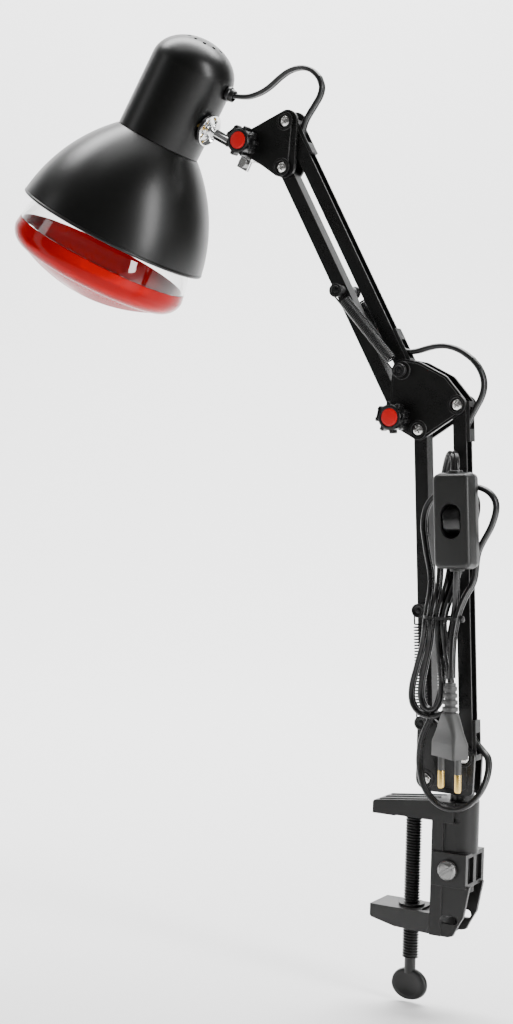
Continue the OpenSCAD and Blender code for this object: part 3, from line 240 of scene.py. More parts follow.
INK = (0.0042, 0.0042, 0.004)
# edge_highlight_mix and edge_highlight_colour give a painted highlight: paler colour on the edges of these finishes.
SLOTS = {
    "clamp_plastic": material("clamp_plastic", (0.0065, 0.0065, 0.0062), 0.4, grain=1500, bump=0.12, edge=0.0006,
                              edge_highlight_mix=0.6, edge_highlight_colour=(0.055, 0.055, 0.053), spec=0.3),
    "jaw_plastic": material("jaw_plastic", (0.011, 0.011, 0.0107), 0.42, grain=1500, bump=0.12, edge=0.0006,
                            edge_highlight_mix=0.6, edge_highlight_colour=(0.06, 0.06, 0.058), spec=0.35),
    "screw_plastic": material("screw_plastic", (0.006, 0.006, 0.0058), 0.36, grain=1400, bump=0.08, edge=0.0003,
                              spec=0.35),
    "set_screw_steel": material("set_screw_steel", (0.22, 0.22, 0.215), 0.3, metal=0.9, grain=2600, bump=0.1,
                                brushed=(1, 6, 1), edge=0.0003),
    "black_paint": material("black_paint", INK, 0.3, grain=2200, bump=0.05, edge=0.0005, edge_highlight_mix=0.7,
                            edge_highlight_colour=(0.1, 0.1, 0.098), coat=0.08, spec=0.3),
    "shade_paint": material("shade_paint", (0.0022, 0.0022, 0.002), 0.33, grain=2600, bump=0.035, patches=30,
                            spread=0.03, dark=0.9, spec=0.33),
    "steel": material("steel", (0.78, 0.77, 0.75), 0.2, metal=1, grain=2400, bump=0.05, dark=0.8, edge=0.0002),
    "black_steel": material("black_steel", (0.006, 0.006, 0.006), 0.26, metal=0.2, grain=2400, bump=0.05, edge=0.0003,
                            edge_highlight_mix=0.4, spec=0.4),
    "spring_steel": material("spring_steel", (0.02, 0.02, 0.02), 0.24, metal=0.5, grain=3000, bump=0.04),
    "knob_plastic": material("knob_plastic", (0.005, 0.005, 0.005), 0.28, grain=1800, bump=0.06, edge=0.0004,
                             edge_highlight_mix=0.3, edge_highlight_colour=(0.05, 0.05, 0.05), spec=0.35),
    "red_plastic": material("red_plastic", (0.5, 0.001, 0.003), 0.36, grain=1200, bump=0.03, dark=0.88, spec=0.3),
    "chrome": material("chrome", (0.86, 0.86, 0.86), 0.07, metal=1, grain=1800, bump=0.01, dark=0.93, spread=0.03,
                       edge=0.0003),
    "brass": material("brass", (0.75, 0.52, 0.16), 0.22, metal=1, grain=2400, bump=0.04, dark=0.85),
    "clear_glass": material("clear_glass", (0.99, 0.99, 0.985), 0.02, clear=1, ior=1.45, grain=60, bump=0.03,
                            spread=0.01, dark=0.99),
    "red_glass": material("red_glass", (0.42, 0.0012, 0.0025), 0.16, clear=0.35, ior=1.2, grain=60, bump=0.02,
                          spread=0.03, dark=0.94, spec=0.2, coat=0.1, coat_rough=0.04),
    "ceramic": material("ceramic", (0.80, 0.77, 0.70), 0.35, grain=700, bump=0.06, coat=0.3),
    "cap_alloy": material("cap_alloy", (0.72, 0.62, 0.40), 0.28, metal=1, grain=2200, bump=0.05),
    "filament_wire": material("filament_wire", (0.42, 0.42, 0.41), 0.3, metal=1, grain=1600, bump=0.04, dark=0.8),
    "cord_pvc": material("cord_pvc", (0.005, 0.005, 0.005), 0.3, grain=1400, bump=0.05, patches=60, coat=0.1, spec=0.4),
    "clip_plastic": material("clip_plastic", (0.009, 0.009, 0.0088), 0.38, grain=1400, bump=0.08, edge=0.0003,
                             edge_highlight_mix=0.3, edge_highlight_colour=(0.05, 0.05, 0.05), spec=0.35),
    "switch_plastic": material("switch_plastic", (0.011, 0.011, 0.0106), 0.4, grain=1700, bump=0.07, spread=0.04,
                               spec=0.4),
    "rocker_plastic": material("rocker_plastic", (0.006, 0.006, 0.006), 0.2, grain=1500, bump=0.03, spec=0.45),
    "plug_plastic": material("plug_plastic", (0.05, 0.05, 0.049), 0.48, grain=1300, bump=0.1, edge=0.0003,
                             edge_highlight_mix=0.3, edge_highlight_colour=(0.12, 0.12, 0.12)),
}


# ---------------------------------------------------------------- mesh helpers
def piece(name, verts, faces, body, slot, *nodes, at=None, sharp=32.0, finish=None):
    """A mesh piece from millimetres, in place, on its body, with its finish."""
    v = np.asarray(verts, float)
    if at is not None:
        m = np.array(at)
        v = v @ m[:3, :3].T + m[:3, 3]
    me = bpy.data.meshes.new(name)
    me.from_pydata((v * MM).tolist(), [], [tuple(f) for f in faces])
    bm = bmesh.new()
    bm.from_mesh(me)
    bmesh.ops.remove_doubles(bm, verts=bm.verts, dist=1e-7)
    bmesh.ops.recalc_face_normals(bm, faces=bm.faces)
    bm.to_mesh(me)
    bm.free()
    me.validate()
    o = bpy.data.objects.new(name, me)
    scene.collection.objects.link(o)
    smooth(o, sharp)
    o.data.materials.append(finish or SLOTS[slot])
    if body:
        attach(o, body)
    if nodes:
        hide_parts(*nodes)
    return o


def smooth(o, sharp):
    o.data.shade_smooth()
    o.data.set_sharp_from_angle(angle=rad(sharp))


def fillet(points, r, closed=False, steps=4):
    """The same line with its corners rounded. r is one radius, or one for each point."""
    p = [Vector(q) for q in points]
    radii = [r] * len(p) if isinstance(r, (int, float)) else list(r)
    out = []
    for i, q in enumerate(p):
        if not closed and i in (0, len(p) - 1):
            out.append(q)
            continue
        a, b = p[i - 1], p[(i + 1) % len(p)]
        u, w = a - q, b - q
        cut = min(radii[i], u.length * 0.45, w.length * 0.45)
        if cut < 1e-4:
            out.append(q)
            continue
        s, e = q + u.normalized() * cut, q + w.normalized() * cut
        for k in range(steps + 1):
            t = k / steps
            out.append(s * (1 - t) ** 2 + q * (2 * t * (1 - t)) + e * t * t)
    return [tuple(q) for q in out]


def lathe_mesh(profile, n=96, closed=False):
    """Vertices and faces of the (radius, height) profile turned about Z."""
    v = [(r * math.cos(2 * math.pi * k / n), r * math.sin(2 * math.pi * k / n), z)
         for r, z in profile for k in range(n)]
    m = len(profile)
    rows = range(m) if closed else range(m - 1)
    f = []
    for i in rows:
        j = (i + 1) % m
        for k in range(n):
            q = (k + 1) % n
            f.append((i * n + k, i * n + q, j * n + q, j * n + k))
    return v, f


def lathe(name, profile, body, slot, *nodes, at=None, n=96, closed=False, sharp=32.0, finish=None):
    v, f = lathe_mesh(profile, n, closed)
    return piece(name, v, f, body, slot, *nodes, at=at, sharp=sharp, finish=finish)


def prism_mesh(outline, z0, z1, edge=0.4, steps=3):
    """An outline of (x, y) points made solid from z0 to z1, with rounded rims."""
    pts = [Vector(p) for p in outline]
    n = len(pts)
    normals = []
    for i in range(n):
        d = (pts[(i + 1) % n] - pts[i - 1]).normalized()
        normals.append(Vector((d.y, -d.x)))
    area = sum(pts[i - 1].x * pts[i].y - pts[i].x * pts[i - 1].y for i in range(n))
    inward = -1 if area > 0 else 1
    layers = []
    for k in range(steps + 1):
        a = math.pi / 2 * k / steps
        layers.append((edge * (1 - math.sin(a)), z0 + edge * (1 - math.cos(a))))
    layers = [(ins, z) for ins, z in layers]
    layers += [(ins, z0 + z1 - z) for ins, z in reversed(layers)]
    v, f = [], []
    for ins, z in layers:
        for p, w in zip(pts, normals):
            q = p + w * inward * ins
            v.append((q.x, q.y, z))
    for i in range(len(layers) - 1):
        for k in range(n):
            q = (k + 1) % n
            f.append((i * n + k, i * n + q, (i + 1) * n + q, (i + 1) * n + k))
    f.append(tuple(range(n)))
    f.append(tuple((len(layers) - 1) * n + k for k in reversed(range(n))))
    return v, f


def joined(*parts):
    """Several (vertices, faces) as one."""
    v, f = [], []
    for pv, pf in parts:
        f += [tuple(i + len(v) for i in face) for face in pf]
        v += list(pv)
    return v, f


def placed(mesh, m):
    a = np.array(m)
    return (np.asarray(mesh[0], float) @ a[:3, :3].T + a[:3, 3]).tolist(), mesh[1]


def box_mesh(lo, hi):
    v = [(x, y, z) for x in (lo[0], hi[0]) for y in (lo[1], hi[1]) for z in (lo[2], hi[2])]
    return v, [(0, 1, 3, 2), (4, 6, 7, 5), (0, 4, 5, 1), (2, 3, 7, 6), (0, 2, 6, 4), (1, 5, 7, 3)]


def carve(o, *cutters, sharp=32.0):
    """Cuts the closed meshes out of o, in millimetres and in place, and applies it."""
    for v, f in cutters:
        me = bpy.data.meshes.new("cutter")
        me.from_pydata((np.asarray(v, float) * MM).tolist(), [], [tuple(q) for q in f])
        bm = bmesh.new()
        bm.from_mesh(me)
        bmesh.ops.remove_doubles(bm, verts=bm.verts, dist=1e-7)
        bmesh.ops.recalc_face_normals(bm, faces=bm.faces)
        bm.to_mesh(me)
        bm.free()
        c = bpy.data.objects.new("cutter", me)
        scene.collection.objects.link(c)
        cut = o.modifiers.new("cut", "BOOLEAN")
        cut.operation, cut.solver, cut.object = "DIFFERENCE", "EXACT", c
        made = bpy.data.meshes.new_from_object(o.evaluated_get(bpy.context.evaluated_depsgraph_get()))
        o.modifiers.clear()
        old, o.data = o.data, made
        bpy.data.meshes.remove(old)
        bpy.data.objects.remove(c)
        bpy.data.meshes.remove(me)
    smooth(o, sharp)
    return o


def curve(points, per=5):
    """A smooth line through the points, per steps between each two."""
    p = [Vector(q) for q in points]
    out = []
    for i in range(len(p) - 1):
        a, b, c, d = p[max(i - 1, 0)], p[i], p[i + 1], p[min(i + 2, len(p) - 1)]
        for k in range(per):
            t = k / per
            out.append(0.5 * (2 * b + (c - a) * t + (2 * a - 5 * b + 4 * c - d) * t * t
                              + (3 * b - a - 3 * c + d) * t ** 3))
    out.append(p[-1])
    return out


def sweep_mesh(line, section, wide=None, caps=True, scale=None):
    """The (a, b) section carried along the line, a along wide (one vector a point, or carried without a twist)."""
    p = [Vector(q) for q in line]
    n, m = len(p), len(section)
    v, f = [], []
    a = None
    for i in range(n):
        d = (p[min(i + 1, n - 1)] - p[max(i - 1, 0)]).normalized()
        if wide is not None:
            a = Vector(wide[i])
        elif a is None:
            a = Vector((0, 1, 0)) if abs(d.y) < 0.9 else Vector((1, 0, 0))
        a = (a - a.dot(d) * d).normalized()
        b = d.cross(a)
        k = scale[i] if scale else 1
        v += [tuple(p[i] + a * (s[0] * k) + b * (s[1] * k)) for s in section]
    for i in range(n - 1):
        for k in range(m):
            q = (k + 1) % m
            f.append((i * m + k, i * m + q, (i + 1) * m + q, (i + 1) * m + k))
    if caps:
        f.append(tuple(reversed(range(m))))
        f.append(tuple((n - 1) * m + k for k in range(m)))
    return v, f


def round_section(r, n=12):
    return [(r * math.cos(2 * math.pi * k / n), r * math.sin(2 * math.pi * k / n)) for k in range(n)]


# ---------------------------------------------------------------- cords
CORD_W, CORD_T = 5.4, 3.2
LOBE = [rad(a) for a in (-134, -112, -88, -64, -38, -13, 13, 38, 64, 88, 112, 134)]
OFF = (CORD_W - CORD_T) / 2
TWIN = ([(OFF + CORD_T / 2 * math.cos(a), CORD_T / 2 * math.sin(a)) for a in LOBE]
        + [(-OFF - CORD_T / 2 * math.cos(a), -CORD_T / 2 * math.sin(a)) for a in LOBE])


def cord_piece(name, route, wide, body, node, ends=None,
               per=5):
    line = curve(route, per)
    across = curve(wide, per)
    v, f = sweep_mesh(line, TWIN, across)
    o = piece(name, v, f, None if ends else body, "cord_pvc", node, sharp=60)
    if ends:
        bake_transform(o)
    cord_jobs.append(lambda: o)
    return o


cord_jobs = []
FLAT = (0.0, 1.0, 0.001)


def from_place(p, line):
    return [(p[0] + q[0], q[1], p[1] + q[2]) for q in line]


HEAD_ROUTE = from_place(HEAD_REAR, [
    (-48, 7.5, 21.2), (-44.4, 8, 20.7), (-40.4, 8.4, 20.2), (-34.6, 8.2, 20.1), (-26.1, 7.2, 21.8),
    (-18.9, 6, 24.8), (-11.7, 4.6, 29.1), (-4.5, 3.2, 32.5), (2.5, 2, 33.9), (8.9, 1, 33.5),
    (15, 0.3, 31), (19.8, 0, 26.5), (21.8, 0, 21), (20.7, 0, 15.5), (17.4, 0, 10.2), (13.7, 0, 5),
    (10.8, 0, 0.2), (9, 0, -5.7), (9, 0, -11.2), (10, 0, -17.2), (11.6, 0, -22.8)])
ELBOW_ROUTE = from_place(ELBOW_REAR, [
    (-50.3, 0, 42.3), (-46.3, 0, 37.7), (-41.3, 0, 33.7), (-36.1, 0, 31.7), (-30.1, 0, 32.1),
    (-24.1, 0, 33.7), (-18.1, 0, 34.9), (-12.1, 0, 35.1), (-6.1, 0, 33.9), (-0.1, 0, 31.3),
    (5.9, 0, 27.3), (10.4, 0, 22.3), (13.3, 0, 16.3), (13.9, 0, 10.3), (12.3, 0, 4.3),
    (9.1, 0, -1.7), (5.7, 0, -7.9), (3.3, 0, -13.9), (1.4, 0, -20.1), (0.5, 0, -26.1)])
LEAD_ROUTE = [
    (45.3, 0, 63.4), (46.8, 0, 57.6), (49.4, 0, 51.8), (52.6, 0, 47.4), (56.6, -0.6, 43.8), (60.6, -2.2, 40.4),
    (62.6, -5, 36), (63.4, -8.6, 30.5), (62.6, -12.4, 24.4), (60, -15.6, 18.6), (55.8, -18, 13.8),
    (50.4, -19.2, 11), (44, -19.4, 10.4), (37.6, -19.4, 12.2), (31.8, -19.4, 16.4), (27.4, -19.4, 22.4),
    (25, -19.4, 29.6), (24, -19.4, 37.4), (24.4, -19.4, 45.2), (26, -19.2, 52.6), (28.8, -18.8, 59.6),
    (32, -18.2, 67), (34.8, -17.8, 75), (36.8, -17.8, 84), (38.4, -17.8, 94), (39.8, -17.8, 104), (41.2, -18, 114),
    (43, -18.3, 124), (44.6, -19.6, 133), (45.6, -21.6, 141), (46.4, -23.2, 148), (46.8, -23.5, 153.4)]
FOLD_ROUTE = [
    (43.6, -23.5, 210), (43.2, -23, 214), (41.6, -20.6, 218.6), (38.8, -16.8, 220.8), (35.6, -12.4, 220.4),
    (32.4, -8.8, 216.6), (30.2, -6.8, 210.6), (29, -6.6, 203), (28.8, -6.6, 194), (29.6, -6.6, 184),
    (31.8, -6.2, 174), (34, -6.4, 164), (35.8, -8.2, 153.6), (36.2, -12.6, 144), (35.8, -18.2, 134)]
TAIL_ROUTE = [
    (52.8, -12.4, 146.6), (49.6, -17.2, 137), (47.8, -22.4, 127), (47.4, -26.6, 116), (48.2, -29.8, 106),
    (48.6, -30.8, 97), (48.8, -31, 90)]
TIE_Z = 124.0


def hank_point(q):
    u, c, s = q / 360, math.cos(rad(q)), math.sin(rad(q))
    k = (u - 0.25) / 2
    upper = c > 0
    z = TIE_Z + c * (71 + 8 * k if upper else 54 + 8 * k)
    spread = (47 if u > 1.5 else 20) if upper else 12 + 20 * k
    x = (34.5 + 12 * c * c if upper else 34.5 - 2.2 * c * c) + s * (3.8 * u + spread * c * c)
    f = min(1, max(0, (z - TIE_Z) / 26))
    return (x, -23.5 + 11.7 * f * f * (3 - 2 * f), z)


HANK_TURNS = [hank_point(q) for q in range(90, 781, 15)]
HANK_ROUTE = FOLD_ROUTE + HANK_TURNS + TAIL_ROUTE
HANK_WIDE = []
for i in range(len(FOLD_ROUTE)):
    a = rad(90 * max(0, (i - 9) / (len(FOLD_ROUTE) - 9)))
    HANK_WIDE.append((math.cos(a), math.sin(a), 0.02))
HANK_WIDE += [(0, 1, 0)] * len(HANK_TURNS) + [(0.05, 1, 0)] * len(TAIL_ROUTE)

cord_piece("cord_head_front", HEAD_ROUTE[0:7], [FLAT] * 7, "head", "head_cord_front",
           ends=("head", "rod_holder"))
cord_piece("cord_head_middle", HEAD_ROUTE[6:12], [FLAT] * 6, "rod_holder", "head_cord_middle",
           ends=("rod_holder", "head_bracket"))
cord_piece("cord_head_rear", HEAD_ROUTE[11:], [FLAT] * 10, "head_bracket", "head_cord_rear",
           ends=("head_bracket", "rear_upper_arm"))
cord_piece("cord_elbow_upper", ELBOW_ROUTE[0:11], [FLAT] * 11, "elbow", "elbow_cord_upper",
           ends=("rear_upper_arm", "elbow"))
cord_piece("cord_elbow_lower", ELBOW_ROUTE[10:], [FLAT] * 10, "elbow", "elbow_cord_lower",
           ends=("elbow", "rear_lower_arm"))
cord_piece("cord_lead", LEAD_ROUTE, [FLAT] * len(LEAD_ROUTE), "rear_lower_arm", "lead_cord")
cord_piece("cord_hank_piece", HANK_ROUTE, HANK_WIDE, "rear_lower_arm", "cord_hank")


# ---------------------------------------------------------------- the head
def arc(a, b, rise, n):
    a, b = Vector(a), Vector(b)
    d = b - a
    h = d.length / 2
    r = (h * h + rise * rise) / (2 * rise)
    u = d / (2 * h)
    w = Vector((u.y, -u.x))
    half = math.asin(h / r)
    out = []
    for i in range(n + 1):
        t = -half + 2 * half * i / n
        out.append(tuple((a + b) / 2 + u * (r * math.sin(t)) + w * (r * math.cos(t) - r + rise)))
    return out


def dome(r, z0, h, n):
    return [(r * math.cos(rad(90 * i / n)), z0 - h * math.sin(rad(90 * i / n))) for i in range(n + 1)]


SEAM, NECK_UP, DOME_H, SHEET = 22.2, 28.1, 21.6, 1.0
MOUTH_R, MOUTH_AT, BULGE = 64.2, 88.0, 6.2
neck_out = dome(NECK_R, -NECK_UP, DOME_H, 28)
neck_in = dome(NECK_R - SHEET, -NECK_UP, DOME_H - SHEET, 28)
neck_profile = ([(NECK_R - 0.35, SEAM), (NECK_R - 0.05, SEAM - 0.35), (NECK_R, SEAM - 0.9)]
                + neck_out + neck_in[::-1] + [(NECK_R - SHEET, SEAM)])
neck = lathe("neck_shell", neck_profile, "head", "shade_paint", "neck", at=ON_HEAD, n=128)
holes = []
for i in range(12):
    rod_mesh = lathe_mesh([(0, -8), (1.3, -8), (1.3, 8), (0, 8)], 20)
    holes.append(placed(rod_mesh, ON_HEAD @ moved(("Z", 30 * i), (13, 0, -NECK_UP - DOME_H + 2))))
carve(neck, joined(*holes))

shade_out = arc((NECK_R + 0.4, SEAM), (MOUTH_R, MOUTH_AT - 1), BULGE, 40)
shade_in = arc((NECK_R + 0.4 - SHEET, SEAM), (MOUTH_R - SHEET, MOUTH_AT - 1), BULGE, 40)
lip = [(20.4, SEAM - 0.9), (NECK_R - 1.6, SEAM - 0.9), (NECK_R - 1.6, SEAM + 0.1)]
shade_profile = (lip + [(r, z + 0.15) for r, z in shade_out] + [(r, z + 0.15) for r, z in shade_in[::-1][:-1]]
                 + [(NECK_R - 2.2, SEAM + 1.1), (20.4, SEAM + 1.1)])
lathe("shade_shell", shade_profile, "head", "shade_paint", "shade", at=ON_HEAD, n=160, closed=True)
bead = [(MOUTH_R - 0.7 + 1.1 * math.cos(rad(a)), MOUTH_AT + 0.3 + 1.1 * math.sin(rad(a))) for a in range(0, 360, 20)]
lathe("rim_roll", bead, "head", "shade_paint", "rim_bead", at=ON_HEAD, n=160, closed=True, sharp=80)

# the chromed rosette: a dished ring, a floor, a hub, and three arms
ring = fillet([(7.6, 0.9), (9.4, 0.6), (10.5, 3.2), (10.5, 4.0), (9.6, 4.0), (8.0, 1.8)], 0.35, closed=True)
rosette_parts = [lathe_mesh(ring, 96, closed=True)]
floor_line = [(0, -0.6), (7.8, 0.3), (7.8, 0.9), (3.6, 0.5), (3.6, 0.4)]
rosette_parts.append(lathe_mesh(floor_line + [(0, 0.4)], 64))
hub = fillet([(0, 0.3), (5.2, 0.5), (4.9, 2.8), (4.0, 4.4), (3.62, 4.4), (3.62, 0.4), (0, 0.4)],
             [0, 0, 0.6, 0.5, 0.1, 0, 0])
rosette_parts.append(lathe_mesh(hub, 64))
for turn in (90, 210, 330):
    arm_outline = fillet([(3.4, -1.5), (8.6, -1.0), (9.4, -1.8), (9.8, -1.8), (9.8, 1.8), (9.4, 1.8), (8.6, 1.0),
                          (3.4, 1.5)], 0.3, closed=True, steps=2)
    rosette_parts.append(placed(prism_mesh(arm_outline, 0.6, 3.0, 0.5), moved(("Z", turn))))
v, f = joined(*rosette_parts)
piece("rosette_wheel", v, f, "head", "chrome", "rosette", at=ON_ROSETTE)
screws = []
for s in (-1, 1):
    head_line = fillet([(0, 2.9), (1.6, 2.75), (2.1, 2.2), (2.1, 1.5), (1.25, 1.5), (1.25, -4), (0, -4)], 0.25)
    screws.append(placed(lathe_mesh(head_line, 32), moved((0, s * 7.4, 0))))
v, f = joined(*screws)
brass_screws = piece("rosette_screw_pair", v, f, "head", "brass", "rosette_screws", at=ON_ROSETTE)
slots = [placed(box_mesh((-2.6, -0.3, 2.2), (2.6, 0.3, 4)), ON_ROSETTE @ moved((0, s * 7.4, 0), ("Z", 40)))
         for s in (-1, 1)]
carve(brass_screws, joined(*slots))

rod_line = fillet([(0, 10.2), (2.7, 10.2), (3.5, 9.2), (3.5, -ROD_LEN + 1.3), (0, -ROD_LEN + 1.3)],
                  [0, 0.4, 0.4, 0.1, 0])
ball = [(4.7 * math.sin(rad(a)), -ROD_LEN + 4.6 + 3.6 * math.cos(rad(a))) for a in range(50, 131, 8)]
v, f = joined(lathe_mesh(rod_line, 64), lathe_mesh([(3.4, ball[0][1])] + ball + [(3.4, ball[-1][1])], 64, closed=True))
piece("chrome_rod", v, f, "head", "chrome", "rod", at=ON_ROD @ moved(("Y", 90)))

# grommet
grommet_at = ON_HEAD @ moved((0, 0, -26), ("Z", -10), ("Y", 90), (0, 0, NECK_R - 2.4))
grommet_line = fillet([(3.3, 0), (3.9, 0), (3.9, 2.6), (5.0, 2.6), (5.0, 4.6), (4.5, 5.2), (4.3, 5.2), (3.9, 8.0),
                       (3.3, 8.0)], 0.25, closed=True)
lathe("grommet_bush", grommet_line, "head", "cord_pvc", "grommet", at=grommet_at, n=48, closed=True)

# bulb: clear wall, red front, cap, lamp holder
BULB_R, WIDE_AT, TIP_AT, RED_AT, GLASS = 60.8, 110.5, 134.0, 104.5, 1.5
FACE_R, FACE_AT, FACE_STEPS = BULB_R - 11.5, TIP_AT - 12, 30


def wall(t):
    side = arc((19 - t, 34), (BULB_R - t, WIDE_AT), 8, 40)
    turn = arc((BULB_R - t, WIDE_AT), (FACE_R - t, FACE_AT - t), 3, 14)[1:]
    face_r = FACE_R - t
    face = [(face_r * (1 - i / FACE_STEPS), FACE_AT - t + (TIP_AT - FACE_AT) * (1 - (1 - i / FACE_STEPS) ** 2))
            for i in range(1, FACE_STEPS + 1)]
    return side, turn + face


def split(side, z):
    below = [p for p in side if p[1] < z - 0.3]
    after = [p for p in side if p[1] > z + 0.3]
    a, b = below[-1], after[0]
    t = (z - a[1]) / (b[1] - a[1])
    return below, (a[0] + (b[0] - a[0]) * t, z), after


side_o, front_o = wall(0)
side_i, front_i = wall(GLASS)
below_o, cut_o, after_o = split(side_o, RED_AT)
below_i, cut_i, after_i = split(side_i, RED_AT)
neck_o = [(13.2, 26.2), (14.2, 29), (16.6, 32)]
neck_i = [(11.7, 26.2), (12.7, 29), (15.1, 32)]
clear_profile = neck_o + below_o + [(cut_o[0], RED_AT - 0.03), (cut_i[0], RED_AT - 0.03)] + below_i[::-1] + neck_i[::-1]
lathe("bulb_clear_wall", clear_profile, "head", "clear_glass", "bulb_glass", at=ON_HEAD, n=128, closed=True, sharp=50)
red_profile = ([(cut_o[0], RED_AT + 0.03)] + after_o + front_o + front_i[::-1] + after_i[::-1]
               + [(cut_i[0], RED_AT + 0.03)])
v, f = lathe_mesh(red_profile, 200)
face_rows = range(1 + len(after_o) + len(front_o) - FACE_STEPS, 1 + len(after_o) + len(front_o) - 1)
for i in face_rows:
    for k in range(200):
        x, y, z = v[i * 200 + k]
        v[i * 200 + k] = (x, y, z + (0.28 if (i + k) % 2 else -0.12))
piece("bulb_red_front", v, f, "head", "red_glass", "bulb_front", at=ON_HEAD, sharp=50)

thread = []
for i in range(0, 7 * 12 + 1):
    thread.append((12.3 + 0.9 * math.cos(2 * math.pi * i / 12), 5.4 + 2.9 * i / 12))
cap_line = ([(0, -0.6), (4.5, -0.6), (5.2, 0.1), (6.4, 0.6), (11.4, 3.9)] + thread
            + [(12.6, 26.1), (11.8, 26.1), (11.6, 6),
            (5, 2.2), (0, 2.2)])
lathe("bulb_screw_cap", cap_line, "head", "cap_alloy", "bulb_cap", at=ON_HEAD @ moved((0, 0, 0.6)), n=64, sharp=50)

# the bulb's inner fittings: pinched stem, two support wires, filament ring, and six wires from the stem to the ring
fittings = []
stem = fillet([(0, 8), (7.4, 8), (5.0, 14), (4.4, 32), (0, 39)], [0, 0.6, 3, 3, 0])
fittings.append(lathe_mesh(stem, 40))
for s in (-1, 1):
    start = Vector((s * 3, 0, 36))
    fittings.append(sweep_mesh(curve([start, start + Vector((s * 6, 0, 22)), Vector((s * 12.4, 0, 82.6))], 8),
                               round_section(0.6, 8)))
coil_line = []
for k in range(0, 241):
    a = 2 * math.pi * k / 240
    w = 2 * math.pi * k / 240 * 60
    rr = 12.4 + 0.55 * math.cos(w)
    coil_line.append((rr * math.cos(a), rr * math.sin(a), 82.6 + 0.55 * math.sin(w)))
fittings.append(sweep_mesh(coil_line, round_section(0.18, 6), caps=False))
for a in range(0, 360, 60):
    c, s = math.cos(rad(a)), math.sin(rad(a))
    fittings.append(sweep_mesh(curve([(2 * c, 2 * s, 38), (6 * c, 6 * s, 60), (11.5 * c, 11.5 * s, 78),
                                      (12.4 * c, 12.4 * s, 82.4)], 6), round_section(0.35, 6)))
v, f = joined(*fittings)
piece("bulb_inner_fittings", v, f, "head", "filament_wire", "filament", at=ON_HEAD)

holder_line = fillet([(0, -26), (13, -26), (16, -23), (20, -14), (20, 27.2), (18, 29.2), (16.4, 29.2),
                      (13.8, 25.7), (13.8, -4),
                      (0, -4)], [0, 1.5, 1.5, 3, 1.5, 0.8, 0.5, 0.5, 0.5, 0])
lathe("ceramic_holder", holder_line, "head", "ceramic", "lamp_holder", at=ON_HEAD, n=96)


# ---------------------------------------------------------------- bolts, knobs, springs
def phillips(name, p, y, body, nodes=(), turn=30.0, depth=None):
    """A cross-recessed bolt along Y through p: domed head in front at -y, hexagonal nut behind."""
    head = fillet([(0, 1.95), (1.8, 1.75), (3.2, 1.0), (3.7, 0.3), (3.7, 0), (2.0, 0)], [0, 1, 0.8, 0.3, 0.1, 0])
    shank = [(2.0, 0), (2.0, -2 * y - 1.7), (0, -2 * y - 2.1)]
    body_mesh = lathe_mesh(head + shank, 40)
    nut = prism_mesh([(3.7 * math.cos(rad(a)), 3.7 * math.sin(rad(a))) for a in range(0, 360, 60)],
                     -2 * y - 1.8, -2 * y,
                     0.3)
    v, f = joined(body_mesh, nut)
    o = piece(name, v, f, body, "steel", *nodes, at=along_y(p, -y))
    cuts = []
    for a in (turn, turn + 90):
        blade = [(-2.1, -0.45, 1.3), (2.1, -0.45, 1.3), (2.1, 0.45, 1.3), (-2.1, 0.45, 1.3),
                 (-2.3, -0.55, 3), (2.3, -0.55, 3), (2.3, 0.55, 3), (-2.3, 0.55, 3)]
        faces = [(3, 2, 1, 0), (4, 5, 6, 7), (0, 1, 5, 4), (1, 2, 6, 5), (2, 3, 7, 6), (3, 0, 4, 7)]
        cuts.append(placed((blade, faces), along_y(p, -y) @ moved(("Z", a))))
    carve(o, *cuts)
    return o


phillips("base_bolt_front", BASE_FRONT, PAD_Y, "base", ("base_bolts",), 20)
phillips("base_bolt_rear", BASE_REAR, PAD_Y, "base", ("base_bolts",), 55)
phillips("elbow_bolt_front", ELBOW_FRONT, PAD_Y - 0.3, "elbow", ("elbow_bolts",), 35)
phillips("elbow_bolt_rear", ELBOW_REAR, PAD_Y - 0.3, "elbow", ("elbow_bolts",), 62)
phillips("bracket_bolt_front", HEAD_FRONT, PAD_Y - 0.3, "head_bracket", ("bracket_bolts",), 20)
phillips("bracket_bolt_rear", HEAD_REAR, PAD_Y - 0.3, "head_bracket", ("bracket_bolts",), 50)


def knob_bolt(name, p, body, node):
    line = fillet([(0, 9.0), (1.4, 9.0), (2.0, 8.4), (2.0, -2 * PAD_Y - 3), (0, -2 * PAD_Y - 3.2)],
                  [0, 0.2, 0.2, 0.2, 0])
    hexagon = [(4.1 * math.cos(rad(a)), 4.1 * math.sin(rad(a))) for a in range(0, 360, 60)]
    v, f = joined(lathe_mesh(line, 32), prism_mesh(hexagon, -2 * PAD_Y - 2.4, -2 * PAD_Y, 0.3))
    return piece(name, v, f, body, "steel", node, at=along_y(p, -PAD_Y))


knob_bolt("elbow_knob_bolt", UPPER_FRONT, "elbow", "elbow_bolts")
knob_bolt("head_knob_bolt", KNOB_AT, "head_bracket", "bracket_bolts")


def lobed(r, lug, count, width, turn=0.0, n=240):
    """A round outline with raised lugs."""
    out = []
    for k in range(n):
        a = 360 * k / n
        off = abs((a - turn + 180 / count) % (360 / count) - 180 / count)
        t = min(1, max(0, (width - off) / (width * 0.45)))
        reach = r + lug * t * t * (3 - 2 * t)
        out.append((reach * math.cos(rad(a)), reach * math.sin(rad(a))))
    return out


